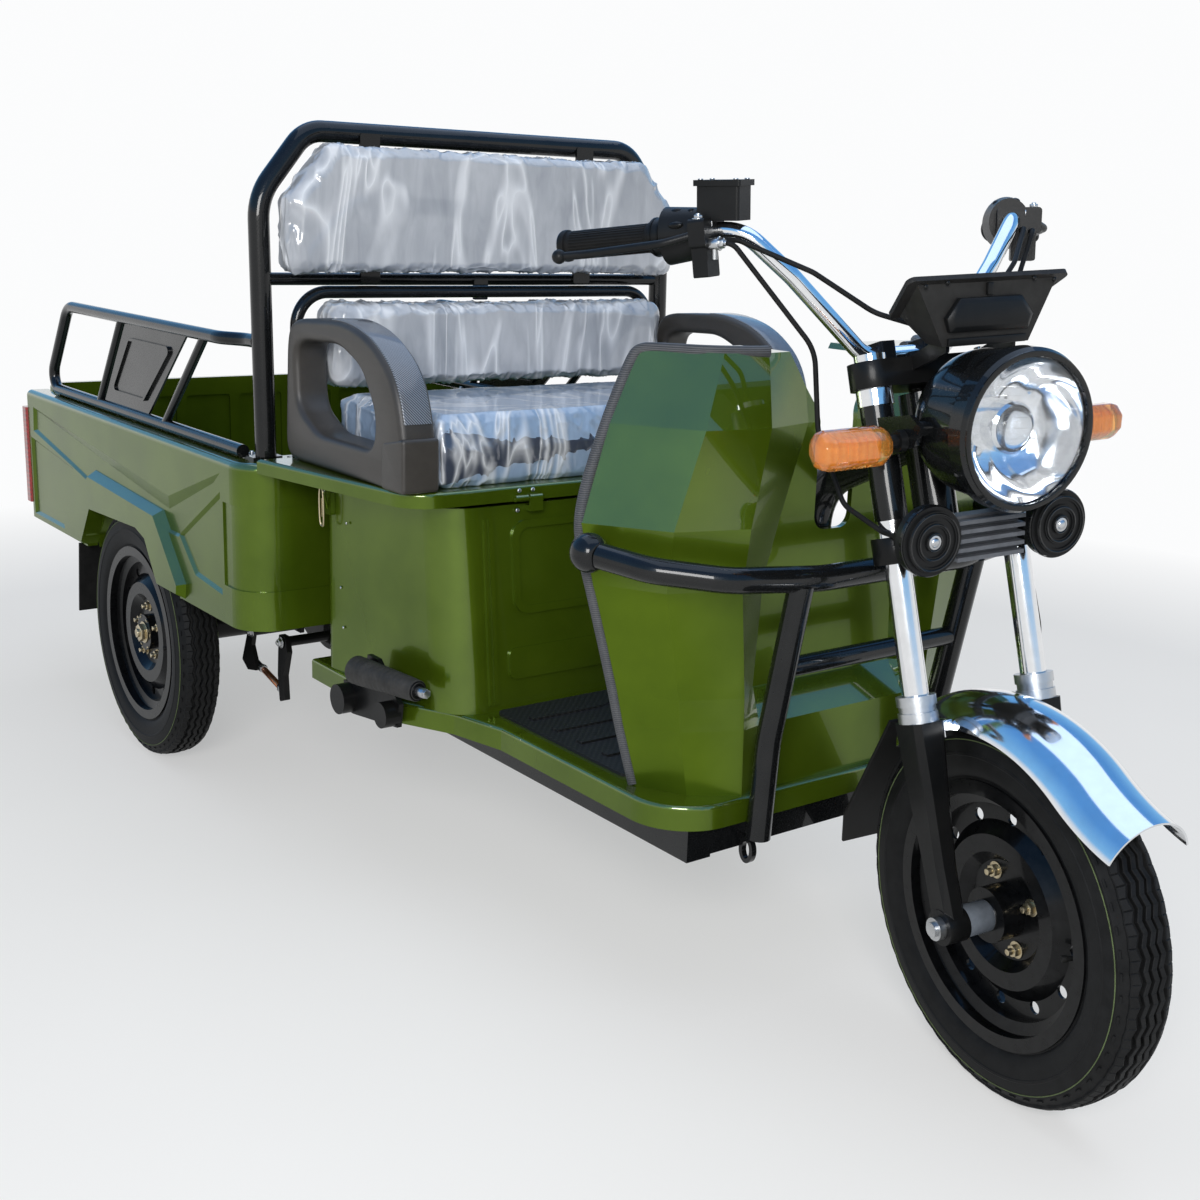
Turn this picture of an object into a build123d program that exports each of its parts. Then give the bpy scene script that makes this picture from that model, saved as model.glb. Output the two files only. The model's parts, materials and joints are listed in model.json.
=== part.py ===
from build123d import *
import math
import os

os.makedirs("parts", exist_ok=True)

# Electric cargo tricycle: one steered wheel in front, a bench seat over a storage bucket, and
# an open load bed over a driven rear axle. Millimetres; +X forward, +Y left, +Z up, and z = 0
# is the floor. Stations along X are counted from the rear axle.

# Stance and wheels
rear_axle_x = -657.0  # the rear axle, from the middle of the overall length
wheelbase = 1703.0
front_station = 1703.0  # where the front axle stands in the stations below
bed_half = 465.0
tyre_r = 238.0
tyre_half = 40.0
track_half = bed_half - tyre_half  # wheel centre to the middle plane
bead_r = 152.0
rim_half = 35.0
rim_lip = 14.0  # the rim's flange above the bead
rim_wall = 3.5
crown_half = 29.0
bead_half = rim_half - rim_wall - 0.3
tyre_seat = bead_r + 0.2

# Steering geometry, in the plane of symmetry before it is turned
rake = 16.5  # degrees behind the vertical
trail_station = 1663.5  # where the steering axis crosses the height of the axles
rest_turn = -11.5  # degrees; it parks turned a little to the right
fork_half = 89.7  # stanchion to the middle plane
fork_lead = 32.0  # stanchions ahead of the steering axis
stanchion_r = 16.0
collar_base = 234.0
collar_rise = 32.0
lower_yoke_base = 425.0
upper_yoke_base = 634.0
yoke_thick = 32.0
bar_u = -23.0
bar_w = 681.0
handle_r = 11.0
band_rise = 20.0
head_tube_r = 27.0
stem_r = 13.0

# Load bed
bed_rear = -594.0
bed_front = 520.0
bed_top = 636.0
skirt_z = 360.0
bed_wall = 20.0
bed_floor = 380.0
floor_thick = 14.0
pillar_r = 60.0
flare_half = bed_half + 15.0
flange_w = 45.0
flange_h = 36.0
wheel_box_top = 500.0
wheel_box_x = 240.0
wheel_box_bevel = 110.0
wheel_box_y = track_half - tyre_half - 15.0
box_sheet = 6.0

# Seat, bucket and backrest
seat_z = 648.0
lid_thick = 23.0
bucket_base = 312.0
bucket_wall = 8.0
hoop_half = bed_half - 61.0
hoop_r = 17.0
hoop_x = 469.0
hoop_top = 1154.0
pad_gap = 0.3

# Floor, leg shield and bumper
floor_edge = 34.0
floor_front = 1394.0
floor_half = 288.0
shield_wall = 8.0
bumper_r = 16.5
bumper_foot_y = 159.0

# Frame
rail_y = 230.0
rail_w = 40.0
rail_h = 44.0
axle_tube_r = 32.0

rail_front = 1380.0
neck_x = 1318.0
neck_r = 24.0

dash_base = 912.0

drum_in = track_half - 73.0
drum_out = track_half - 27.0
axle_stub = 22.0
rear_pin_r = 12.0
front_pin_r = 9.0
bush_start = 36.0
hub_r = 34.0

# Fits
seat_gap = 0.3  # resting faces that are curved
run_gap = 6.0  # between a moving piece and a fixed one

body = Plane(origin=(rear_axle_x, 0, 0))
stretch = wheelbase - front_station  # the front end follows the wheelbase
front = Plane(origin=(rear_axle_x + stretch, 0, 0))
axis_lean = math.radians(rake)
axis_dir = (-math.sin(axis_lean), 0, math.cos(axis_lean))
axis_foot = Vector(trail_station, 0, tyre_r)
turn = Location(axis_foot) * Location((0, 0, 0), axis_dir, rest_turn) * Location(-axis_foot)
steered = Plane(front.location * turn)


def placed(home, origin, x_dir=(1, 0, 0), z_dir=(0, 0, 1)):
    """A plane given in the coordinates of another one."""
    return Plane(home.location * Plane(origin=origin, x_dir=x_dir, z_dir=z_dir).location)


fork = placed(steered, axis_foot, (math.cos(axis_lean), 0, math.sin(axis_lean)), axis_dir)


def level(home, z):
    """Local x forward and y left, at height z."""
    return placed(home, (0, 0, z))


def side(home, y):
    """Local x forward and y up; the normal points to the right."""
    return placed(home, (0, y, 0), (1, 0, 0), (0, -1, 0))


def across(home, x):
    """Local x to the left and y up; the normal points forward."""
    return placed(home, (x, 0, 0), (0, 1, 0), (1, 0, 0))


def tube(home, points, bends, radius):
    """A round bar along straight runs joined by tangent arcs."""
    with BuildLine(home, mode=Mode.PRIVATE) as route:
        if len(points) > 2:
            FilletPolyline(*points, radius=bends)
        else:
            Line(*points)
    start = Plane(origin=route.line @ 0, z_dir=route.line % 0)
    with BuildSketch(start, mode=Mode.PRIVATE) as section:
        Circle(radius)
    sweep(section.sketch, path=route.line)


def outline(plane, points, corner=0.0):
    """A closed outline with straight edges, its corners rounded alike."""
    with BuildSketch(plane, mode=Mode.PRIVATE) as shape:
        with BuildLine():
            Polyline(*points, close=True)
        make_face()
        if corner:
            fillet(shape.vertices(), corner)
    return shape.sketch


def plate(plane, points, thick, corner=0.0, both=False, mode=Mode.ADD, taper=0.0):
    """A flat piece cut to an outline."""
    extrude(outline(plane, points, corner), amount=thick, both=both, mode=mode, taper=taper)


def block(plane, x0, x1, y0, y1, thick, corner=0.0, mode=Mode.ADD):
    """A rectangular piece between two local x and two local y values."""
    plate(plane, ((x0, y0), (x1, y0), (x1, y1), (x0, y1)), thick, corner, mode=mode)


def round_bar(plane, radius, height, bore=0.0, mode=Mode.ADD, both=False):
    """A round piece, bored through where a bore is given."""
    with BuildSketch(plane, mode=Mode.PRIVATE) as disc:
        Circle(radius)
        if bore:
            Circle(bore, mode=Mode.SUBTRACT)
    extrude(disc.sketch, amount=height, mode=mode, both=both)


def mirrored(points):
    """A route from the right side, carried on to the left."""
    return points + [(x, -y, z) for x, y, z in reversed(points)]


def save(builder, name):
    builder.part.label = name
    export_step(builder.part, f"parts/{name}.step")


# ---------------------------------------------------------------- wheels
for name, home, x, y in (
    ("front", steered, front_station, 0.0),
    ("rear_right", body, 0.0, -track_half),
    ("rear_left", body, 0.0, track_half),
):
    hub = placed(home, (x, y, tyre_r), (0, 1, 0), (1, 0, 0))  # local x along the axle, y up
    axle = Axis(hub.origin, hub.x_dir)
    outward = -1.0 if y <= 0 else 1.0
    disc_at = outward * (8.0 if y else 4.0)
    hub_in = drum_out - track_half + seat_gap if y else seat_gap - bush_start
    hub_out = axle_stub if y else bush_start - seat_gap
    hub_from, hub_to = sorted((outward * hub_in, outward * hub_out))
    bore_r = rear_pin_r if y else front_pin_r
    well_r = bead_r - 14.0

    with BuildPart() as rubber:
        with BuildSketch(hub):
            with BuildLine():
                Polyline((0, tyre_r), (18, tyre_r - 1.5), (crown_half, tyre_r - 6))
                ThreePointArc((crown_half, tyre_r - 6), (tyre_half, bead_r + 48),
                              (bead_half, bead_r + rim_lip + 2))
                Polyline((bead_half, bead_r + rim_lip + 2), (bead_half, tyre_seat), (0, tyre_seat))
                mirror(about=Plane.YZ)
            make_face()
        revolve(axis=axle)
    save(rubber, f"{name}_tyre")

    with BuildPart() as rim:
        with BuildSketch(hub):
            with BuildLine():
                Polyline(
                    (0, well_r),
                    (14, well_r),
                    (20, bead_r),
                    (rim_half - rim_wall, bead_r),
                    (rim_half - rim_wall, bead_r + rim_lip),
                    (rim_half, bead_r + rim_lip),
                    (rim_half, bead_r - rim_wall),
                    (21, bead_r - rim_wall),
                    (15, well_r - rim_wall),
                    (0, well_r - rim_wall),
                )
                mirror(about=Plane.YZ)
            make_face()
        revolve(axis=axle)
        with BuildSketch(hub):
            with BuildLine():
                Polyline(
                    (disc_at, 14),
                    (disc_at, 62),
                    (disc_at + outward * 14, 74),
                    (disc_at + outward * 14, 96),
                    (disc_at, 112),
                    (disc_at, well_r - 1),
                    (disc_at - outward * 4, well_r - 1),
                    (disc_at - outward * 4, 108),
                    (disc_at + outward * 9, 93),
                    (disc_at + outward * 9, 77),
                    (disc_at - outward * 5, 64),
                    (disc_at - outward * 5, 14),
                    close=True,
                )
            make_face()
        revolve(axis=axle)
        hub_face = placed(home, (x, y + hub_from, tyre_r), (1, 0, 0), (0, 1, 0))
        round_bar(hub_face, hub_r, hub_to - hub_from)
        round_bar(hub_face, bore_r + seat_gap, hub_to - hub_from, mode=Mode.SUBTRACT)
        face = placed(home, (x, y + disc_at, tyre_r), (1, 0, 0), (0, outward, 0))
        with BuildSketch(face):
            with PolarLocations(119, 12):
                Circle(8)
        extrude(amount=30, both=True, mode=Mode.SUBTRACT)
        with BuildSketch(face):
            with PolarLocations(85, 6, start_angle=15):
                SlotArc(CenterArc((0, 0), 85, -12, 24), 13)
        extrude(amount=30, both=True, mode=Mode.SUBTRACT)
    save(rim, f"{name}_rim")



middle = side(body, 0)
steer_middle = side(steered, 0)


# ---------------------------------------------------------------- load bed
inner_half = bed_half - flange_w
deck_under = bed_floor - floor_thick
post_depth = 34.0
front_flange = 80.0


def bed_plan(z, rear, front, half, corner):
    """The right half of the bed in plan, with its front corner rounded."""
    with BuildSketch(level(body, z), mode=Mode.PRIVATE) as plan:
        with BuildLine():
            Polyline((rear, 0), (rear, -half), (front, -half), (front, 0), close=True)
        make_face()
        fillet(plan.vertices().group_by(Axis.X)[-1].sort_by(Axis.Y)[0], corner)
    return plan.sketch


def wheel_box(inset):
    """The box over a rear wheel, seen from the side."""
    x = wheel_box_x - inset
    top = wheel_box_top - inset
    bevel = wheel_box_bevel
    return ((-x, skirt_z - 1), (-x, top - bevel), (bevel - x, top), (x - bevel, top),
            (x, top - bevel), (x, skirt_z - 1))


arch = ((168, 350), (168, 364), (109, 445), (65, 457), (-185, 448), (-247, 365), (-247, 350))
flare = ((262, skirt_z), (268, 392), (160, 506), (-190, 524), (-290, 446), (-290, skirt_z))
press = 5.0  # how deep the pressings in the bed's side are
dart_rim = ((-556, 603), (196, 536), (424, 612), (236, 470), (150, 470), (-200, 490),
            (-322, 512), (-562, 552))
dart_floor = ((-548, 597), (187, 511), (408, 598), (234, 474), (150, 474), (-200, 494),
              (-322, 517), (-550, 556))
fold = ((-576, 530), (-322, 503), (-340, 470), (-396, 412), (-394, 376), (-576, 376))
diamond = ((250, 474), (416, 570), (416, 413), (310, 422))
step_low = 426.0
step_high = 566.0
step_back = 432.0
waist_in = 3.0

with BuildPart() as cargo_bed:
    extrude(bed_plan(skirt_z, bed_rear, bed_front, bed_half, pillar_r), amount=bed_top - skirt_z)
    rim_edges = edges().group_by(Axis.Z)[-1].filter_by(
        lambda edge: edge.center().Y < -1 and edge.center().X > body.origin.X + bed_rear + 1)
    fillet(rim_edges, 12)
    extrude(bed_plan(bed_floor, bed_rear + post_depth, bed_front - bed_wall,
                     bed_half - bed_wall, pillar_r - bed_wall),
            amount=bed_top - flange_h - bed_floor, mode=Mode.SUBTRACT)
    extrude(bed_plan(bed_floor, bed_rear - 1, bed_front - front_flange, inner_half, 20),
            amount=bed_top - bed_floor + 1, mode=Mode.SUBTRACT)
    extrude(bed_plan(skirt_z, bed_rear + bed_wall, bed_front - bed_wall,
                     bed_half - bed_wall, pillar_r - bed_wall),
            amount=deck_under - skirt_z, mode=Mode.SUBTRACT)
    # Pressings in the side, then the waist of the front corner between its two steps
    loft([outline(side(body, -bed_half), dart_rim),
          outline(side(body, press - bed_half), dart_floor)], ruled=True, mode=Mode.SUBTRACT)
    for pressing in (fold, diamond):
        plate(side(body, press - bed_half), pressing, press + 1, mode=Mode.SUBTRACT, taper=-50)
    with BuildPart(mode=Mode.PRIVATE) as waist:
        extrude(bed_plan(step_low, step_back, bed_front + 1, bed_half + 1, pillar_r),
                amount=step_high - step_low)
        extrude(bed_plan(step_low, bed_rear, bed_front - waist_in, bed_half - waist_in,
                         pillar_r - waist_in), amount=step_high - step_low, mode=Mode.SUBTRACT)
    add(waist.part, mode=Mode.SUBTRACT)
    # The wheel box inside and the flare outside, then the room for the wheel
    plate(side(body, -wheel_box_y), wheel_box(0), bed_half - wheel_box_y)
    plate(side(body, press + 1 - bed_half), flare, flare_half - bed_half + press + 1, taper=30)
    plate(side(body, -(wheel_box_y + box_sheet)), wheel_box(box_sheet),
          flare_half - 8 - wheel_box_y - box_sheet, mode=Mode.SUBTRACT)
    plate(side(body, -(bed_half - bed_wall)), arch, flare_half, mode=Mode.SUBTRACT)
    mirror(about=middle)

hinge_x = bed_rear - 10.0
hinge_z = bed_floor + 8.0
gate_half = inner_half - 5.0
gate_base = hinge_z + 4.0
gate_top = bed_top + 14.0
gate_depth = 18.0
knuckle_r = 7.0
knuckle_len = 22.0
knuckle_gap = 2.0
knuckle_sites = (-300.0, 0.0, 300.0)
pin_r = 3.0
leaf_thick = 6.0


def hinge_half(y, low, high, bore):
    """A barrel on the tailgate's axis with the leaf that carries it."""
    seat = placed(body, (0, y, 0), (1, 0, 0), (0, 1, 0))
    barrel = placed(body, (hinge_x, y, hinge_z), (1, 0, 0), (0, 1, 0))
    round_bar(barrel, knuckle_r, knuckle_len)
    block(seat, bed_rear - leaf_thick, bed_rear, -high, -low, knuckle_len)
    if bore:
        round_bar(barrel, pin_r + seat_gap, knuckle_len, mode=Mode.SUBTRACT)


floor_ribs = 9
rib_rise = 5.0
notch_front = 592.0
notch_half = 345.0
shelf_thick = 16.0
with cargo_bed:
    block(level(body, bed_top - shelf_thick), bed_front - 1, notch_front - run_gap,
          run_gap - notch_half, notch_half - run_gap, shelf_thick)
    # Ribs along the floor, between the wheel boxes
    for n in range(floor_ribs):
        y = (n - (floor_ribs - 1) / 2) * 78
        block(level(body, bed_floor - 1), bed_rear + 60, bed_front - front_flange - 20, y - 14,
              y + 14, rib_rise + 1, 6)
    for y in knuckle_sites:
        hinge_half(y + knuckle_gap / 2, skirt_z, hinge_z, bore=False)
        round_bar(placed(body, (hinge_x, y + 2, hinge_z), (1, 0, 0), (0, -1, 0)), pin_r,
                  knuckle_len)
save(cargo_bed, "cargo_bed")

with BuildPart() as tailgate:
    gate_face = across(body, bed_rear)
    block(gate_face, -gate_half, gate_half, gate_base, gate_top, gate_depth, 10)
    # Pressed fields from both faces, which leave upright ribs
    fields = 6
    pitch = (2 * gate_half - 60) / fields
    for n in range(fields):
        left = -gate_half + 30 + n * pitch + 12
        for plane, depth in ((gate_face, 7), (across(body, bed_rear + gate_depth), -7)):
            block(plane, left, left + pitch - 24, gate_base + 30, gate_top - 40, depth, 8,
                  mode=Mode.SUBTRACT)
    for y in knuckle_sites:
        hinge_half(y - knuckle_len - knuckle_gap / 2, hinge_z, gate_base + 40, bore=True)
save(tailgate, "tailgate")


# ---------------------------------------------------------------- rails on the bed's rim
rail_half = bed_half - 35.0
bar_r = 11.0
strut_r = 8.0
rail_low = bed_top + seat_gap + bar_r
rail_high = 824.0
rail_tail = -545.0
hoop_rear = hoop_x - hoop_r
panel_sheet = 4.0

for name, hand in (("right", -1), ("left", 1)):
    y = hand * rail_half
    with BuildPart() as side_rail:
        # The rail leans forward at the tail, runs level and turns in to the backrest's post
        tube(body, [(hoop_rear - 14, y, rail_low), (rail_tail, y, rail_low),
                    (-400, y, rail_high), (360, y, rail_high), (405, hand * hoop_half, rail_high),
                    (hoop_rear - 8, hand * hoop_half, rail_high)], [30, 60, 60, 60], bar_r)
        for low_x, high_x in ((-233, -96), (105, 295)):
            tube(body, [(low_x, y, rail_low + 3), (high_x, y, rail_high - 3)], 0, strut_r)
        panel = side(body, y)
        field = ((-205, rail_low + 6), (22, rail_low + 6), (222, rail_high - 6), (-72, rail_high - 6))
        plate(panel, field, panel_sheet / 2, both=True)
        plate(panel, ((-150, 680), (15, 680), (160, 790), (-50, 790)), 7, 8, both=True)
        plate(side(body, y - 7), ((-142, 685), (13, 685), (142, 785), (-48, 785)), -4, 6,
              mode=Mode.SUBTRACT)
        plate(side(body, y + 7), ((-142, 685), (13, 685), (142, 785), (-48, 785)), 4, 6,
              mode=Mode.SUBTRACT)
    save(side_rail, f"side_rail_{name}")

# ---------------------------------------------------------------- backrest
hoop_lean = 10.0
knee_half = 320.0
knee_z = 1050.0
cross_z = 924.0
cross_r = 10.0
foot_thick = 6.0
tab_thick = 4.0

with BuildPart() as backrest_hoop:
    base = bed_top + foot_thick
    right = [(hoop_x, -hoop_half, base), (hoop_x - hoop_lean, -hoop_half, knee_z),
             (hoop_x - hoop_lean - 2, -knee_half, hoop_top)]
    tube(body, mirrored(right), [100, 60, 60, 100], hoop_r)
    cross_x = hoop_x - hoop_lean * (cross_z - base) / (knee_z - base)
    tube(body, [(cross_x, -hoop_half, cross_z), (cross_x, hoop_half, cross_z)], 0, cross_r)
    for hand in (-1, 1):
        block(level(body, bed_top), hoop_x - 26, hoop_x + 9, hand * hoop_half - 15,
              hand * hoop_half + 26, foot_thick, 3)
        block(level(body, bed_top), hoop_x - 26, hoop_x + 9, hand * hoop_half - 15,
              hand * hoop_half - 26, foot_thick, 0)
    # Tabs that carry the cushion's board
    tab = across(body, cross_x + cross_r - 1)
    block(tab, -14, 14, cross_z - 34, cross_z, tab_thick + 1, 3)
    for y in (-215, 215):
        block(tab, y - 18, y + 18, cross_z - 6, cross_z + 58, tab_thick + 1, 4)
        block(tab, y - 18, y + 18, hoop_top - 62, hoop_top, tab_thick + 1, 4)
save(backrest_hoop, "backrest_hoop")

pad_rear = cross_x + cross_r + tab_thick + pad_gap
with BuildPart() as upper_back_pad:
    shape = ((-385, 935), (385, 935), (385, 1050), (312, 1135), (-312, 1135), (-385, 1050))
    plate(across(body, pad_rear), shape, 58, 18)
    fillet(upper_back_pad.faces().sort_by(Axis.X)[-1].edges(), 16)
save(upper_back_pad, "upper_back_pad")

frame_half = 358.0
frame_x = 492.0
frame_top = 905.0
frame_r = 10.0
with BuildPart() as lower_back_frame:
    right = [(frame_x, -frame_half, bed_top + foot_thick), (frame_x, -frame_half, frame_top)]
    tube(body, mirrored(right), [55, 55], frame_r)
    for hand in (-1, 1):
        block(level(body, bed_top), frame_x - 12, frame_x + 16, hand * frame_half - 15,
              hand * frame_half + 15, foot_thick, 3)
    tube(body, [(frame_x, -frame_half, 785), (frame_x, frame_half, 785)], 0, frame_r)
save(lower_back_frame, "lower_back_frame")

pad_depth = 72.0
lower_pad_rear = frame_x + frame_r + pad_gap
with BuildPart() as lower_back_pad:
    shape = ((-334, 757), (334, 757), (334, 893), (-334, 893))
    plate(across(body, lower_pad_rear), shape, pad_depth, 28)
    fillet(lower_back_pad.faces().sort_by(Axis.X)[-1].edges(), 20)
save(lower_back_pad, "lower_back_pad")

# ---------------------------------------------------------------- seat, lid and bucket
lid_rear = bed_front + run_gap
lid_front = 908.0
lid_rear_half = 446.0
lid_front_half = 383.0
lid_base = seat_z - lid_thick
bucket_rear = 585.0
bucket_front_top = 900.0
bucket_front_low = 930.0


def lid_plan(z, inset):
    rear = lid_rear + inset
    front = lid_front - inset
    points = ((rear, -(lid_rear_half - inset)), (front, -(lid_front_half - inset)),
              (front, lid_front_half - inset), (rear, lid_rear_half - inset))
    with BuildSketch(level(body, z), mode=Mode.PRIVATE) as plan:
        with BuildLine():
            Polyline(*points, close=True)
        make_face()
        fillet(plan.vertices().group_by(Axis.X)[-1], 58 - inset)
    return plan.sketch


with BuildPart() as seat_lid:
    extrude(lid_plan(lid_base, 0), amount=lid_thick)
    fillet(seat_lid.edges().group_by(Axis.Z)[-1], 6)
    extrude(lid_plan(lid_base, 7), amount=lid_thick - 7, mode=Mode.SUBTRACT)
    # The rear middle stays behind as a shelf on the bed, so that the lid tips clear of the cushion
    block(level(body, lid_base - 1), lid_rear - 1, notch_front, -notch_half, notch_half,
          lid_thick + 2, mode=Mode.SUBTRACT)
save(seat_lid, "seat_lid")


def bucket_plan(z, inset):
    """The bucket narrows to the front and its front face leans out at the foot."""
    share = (z - bucket_base) / (lid_base - bucket_base)
    front = bucket_front_low + share * (bucket_front_top - bucket_front_low) - inset
    rear = bucket_rear + inset
    rear_half = 360 - inset
    front_half = 326 - inset
    with BuildSketch(level(body, z), mode=Mode.PRIVATE) as plan:
        with BuildLine():
            Polyline((rear, -rear_half), (front, -front_half), (front, front_half),
                     (rear, rear_half), close=True)
        make_face()
        fillet(plan.vertices().group_by(Axis.X)[-1], 62 - inset)
        fillet(plan.vertices().group_by(Axis.X)[0], 20 - inset)
    return plan.sketch


bucket_top = lid_base - run_gap
with BuildPart() as seat_bucket:
    loft([bucket_plan(bucket_base, 0), bucket_plan(bucket_top, 0)], ruled=True)
    loft([bucket_plan(bucket_base + bucket_wall, bucket_wall), bucket_plan(bucket_top, bucket_wall)],
         ruled=True, mode=Mode.SUBTRACT)

# Pressings: a framed field and a ledge in front, two upright folds, a slanting rib at each side
lean = Vector(bucket_front_low - bucket_front_top, 0, bucket_base - lid_base).normalized()
front_face = placed(body, (bucket_front_low, 0, bucket_base), (0, 1, 0), (-lean.Z, 0, lean.X))
emboss = 3.0
with seat_bucket:
    block(front_face, -214, 214, 142, 284, emboss + 1, 26)
    block(front_face, -202, 202, 154, 272, emboss + 2, 18, mode=Mode.SUBTRACT)
    block(front_face, -226, 226, 44, 92, emboss + 1, 12)
    for hand in (-1, 1):
        low, high = sorted((hand * 246, hand * 254))
        block(front_face, low, high, 10, 290, emboss, 0)
        low, high = sorted((hand * 258, hand * 263))
        block(front_face, low, high, 10, 290, emboss, 0)
save(seat_bucket, "seat_bucket")

cushion_half = 334.0
with BuildPart() as seat_cushion:
    profile = ((582, seat_z), (902, seat_z), (912, 700), (895, 752), (582, 752))
    plate(side(body, -cushion_half), profile, -2 * cushion_half)
    fillet(seat_cushion.edges().filter_by(Axis.Y).sort_by(Axis.X)[-4:], 8)
save(seat_cushion, "seat_cushion")

arm_half = 398.0
arm_width = 58.0
arm_outline = ((526, seat_z), (540, 849), (560, 868), (720, 878), (800, 858), (875, 815),
               (905, 741), (906, seat_z))
arm_hole = ((585, 705), (590, 800), (610, 818), (700, 818), (765, 795), (800, 740), (775, 705))
for name, hand in (("right", -1), ("left", 1)):
    outer = side(body, hand * arm_half if hand < 0 else arm_half - arm_width)
    with BuildPart() as armrest:
        plate(outer, arm_outline, -arm_width)
        plate(outer, arm_hole, -arm_width, 14, mode=Mode.SUBTRACT)
    save(armrest, f"armrest_{name}")

# ---------------------------------------------------------------- floor and leg shield
sill_z = bucket_base - floor_edge
floor_sheet = 6.0
corner_r = 85.0


def floor_plan(z, inset):
    """The floor, wide beside the bucket, narrow across the leg space."""
    half = floor_half - inset
    wide = 362 - inset
    points = [(bed_front + 20 + inset, -wide), (800, -wide), (905, -half - 22), (1000, -half),
              (floor_front + stretch - inset, -half)]
    points += [(x, -y) for x, y in reversed(points)]
    with BuildSketch(level(body, z), mode=Mode.PRIVATE) as plan:
        with BuildLine():
            Polyline(*points, close=True)
        make_face()
        fillet(plan.vertices().group_by(Axis.X)[-1], corner_r - inset)
    return plan.sketch


with BuildPart() as floorboard:
    extrude(floor_plan(sill_z, 0), amount=floor_edge)
    fillet(floorboard.edges().group_by(Axis.Z)[-1], 6)
    extrude(floor_plan(sill_z, floor_sheet), amount=floor_edge - floor_sheet, mode=Mode.SUBTRACT)
    round_bar(placed(front, (neck_x, 0, sill_z)), neck_r + 2, floor_edge, mode=Mode.SUBTRACT)
save(floorboard, "floorboard")

mat_rear = 940.0
mat_front = 1255.0
mat_half = 258.0
mat_thick = 4.0
with BuildPart() as floor_mat:
    block(level(body, bucket_base), mat_rear, mat_front + stretch, -mat_half, mat_half, mat_thick,
          12)
    for row in range(5):
        x = mat_rear + 32 + row * 60
        for hand in (-1, 1):
            with BuildSketch(level(body, bucket_base + mat_thick), mode=Mode.PRIVATE) as rib:
                with BuildLine():
                    Polyline((x, hand * 30), (x + 34, hand * 110), (x + 34, hand * 235),
                             (x + 20, hand * 235), (x + 20, hand * 114), (x - 14, hand * 30),
                             close=True)
                make_face()
            extrude(rib.sketch, amount=3)
save(floor_mat, "floor_mat")

shield_base = bucket_base
shield_rear = 1246.0


def shield_plan(z, edge, facet, nose, centre, inset):
    """One section of the shield: edge, side facet, nose and centre, open behind."""
    edge_x, edge_y = edge
    back = shield_rear - 40 if inset else edge_x
    right = [(back, inset - edge_y), (edge_x, inset - edge_y)]
    right += [(x - inset, share * inset - y)
              for (x, y), share in ((facet, 0.6), (nose, 0.6), (centre, -0.6))]
    if not inset:
        right = right[1:]
    points = right + [(x, -y) for x, y in reversed(right)]
    return outline(level(front, z), points)


# Height, then the edge, facet, nose and centre in plan; the middle is a step with a recess over it
shield_sections = (
    (shield_base, (1278, 264), (1348, 228), (1386, 166), (1382, 138)),
    (402, (1274, 288), (1350, 246), (1387, 170), (1380, 136)),
    (446, (1272, 297), (1351, 252), (1387, 172), (1354, 128)),
    (590, (1262, 333), (1354, 282), (1387, 186), (1353, 120)),
    (668, (1252, 348), (1358, 278), (1388, 178), (1352, 96)),
    (790, (1248, 306), (1360, 236), (1374, 140), (1352, 56)),
    (880, (1244, 262), (1334, 190), (1344, 124), (1334, 56)),
)

with BuildPart() as leg_shield:
    loft([shield_plan(*section, 0) for section in shield_sections], ruled=True)
    hollow = [list(section) for section in shield_sections]
    hollow[0][0] -= 1
    hollow[-1][0] -= shield_wall
    loft([shield_plan(*section, shield_wall) for section in hollow], ruled=True,
         mode=Mode.SUBTRACT)
    # The valley between the two pods, over the steering head
    valley = placed(front, (1200, 0, 0), (0, 1, 0), (1, 0, 0))
    with BuildSketch(valley, mode=Mode.PRIVATE) as notch:
        with BuildLine():
            Polyline((-96, 900), (-34, 800), (-34, 646), (34, 646), (34, 800), (96, 900),
                     close=True)
        make_face()
        fillet(notch.vertices().group_by(Axis.Y)[1], 40)
        fillet(notch.vertices().group_by(Axis.Y)[0], 20)
    extrude(notch.sketch, amount=250, mode=Mode.SUBTRACT)
save(leg_shield, "leg_shield")

bumper_foot_z = 262.0
ball_r = 25.0
eye_x = 1396.0
with BuildPart() as front_bumper:
    ball = (1295, -359, 639)
    right = [ball, (1384, -334, 632), (1446, -262, 624), (1466, -130, 616)]
    tube(front, mirrored(right), [60, 70, 150, 150, 70, 60], bumper_r)
    for hand in (-1, 1):
        with Locations(placed(front, (ball[0], hand * ball[1], ball[2])).location):
            Sphere(ball_r)
        y = hand * bumper_foot_y
        tube(front, [(1462, y, 612), (1422, y, 398), (1414, y, bumper_foot_z)], [200], bumper_r)
    tube(front, [(1440, -bumper_foot_y, 498), (1440, bumper_foot_y, 498)], 0, 13)
    # Lugs that bolt under the floor, and the towing eye on the right one
    for hand in (-1, 1):
        y = hand * bumper_foot_y
        plate(side(front, y - 6), ((1418, 300), (1418, 262), (rail_front + seat_gap, 262),
                                  (rail_front + seat_gap, sill_z), (1398, sill_z),
                                  (1398, 300)), -12)
    tube(front, [(eye_x, -bumper_foot_y, 264), (eye_x, -bumper_foot_y, 252)], 0, 4)
    with BuildSketch(placed(front, (eye_x, -bumper_foot_y, 238), (1, 0, 0), (0, -1, 0)),
                     mode=Mode.PRIVATE) as loop:
        Ellipse(13, 18)
        Ellipse(7, 12, mode=Mode.SUBTRACT)
    extrude(loop.sketch, amount=4, both=True)
save(front_bumper, "front_bumper")

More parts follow.
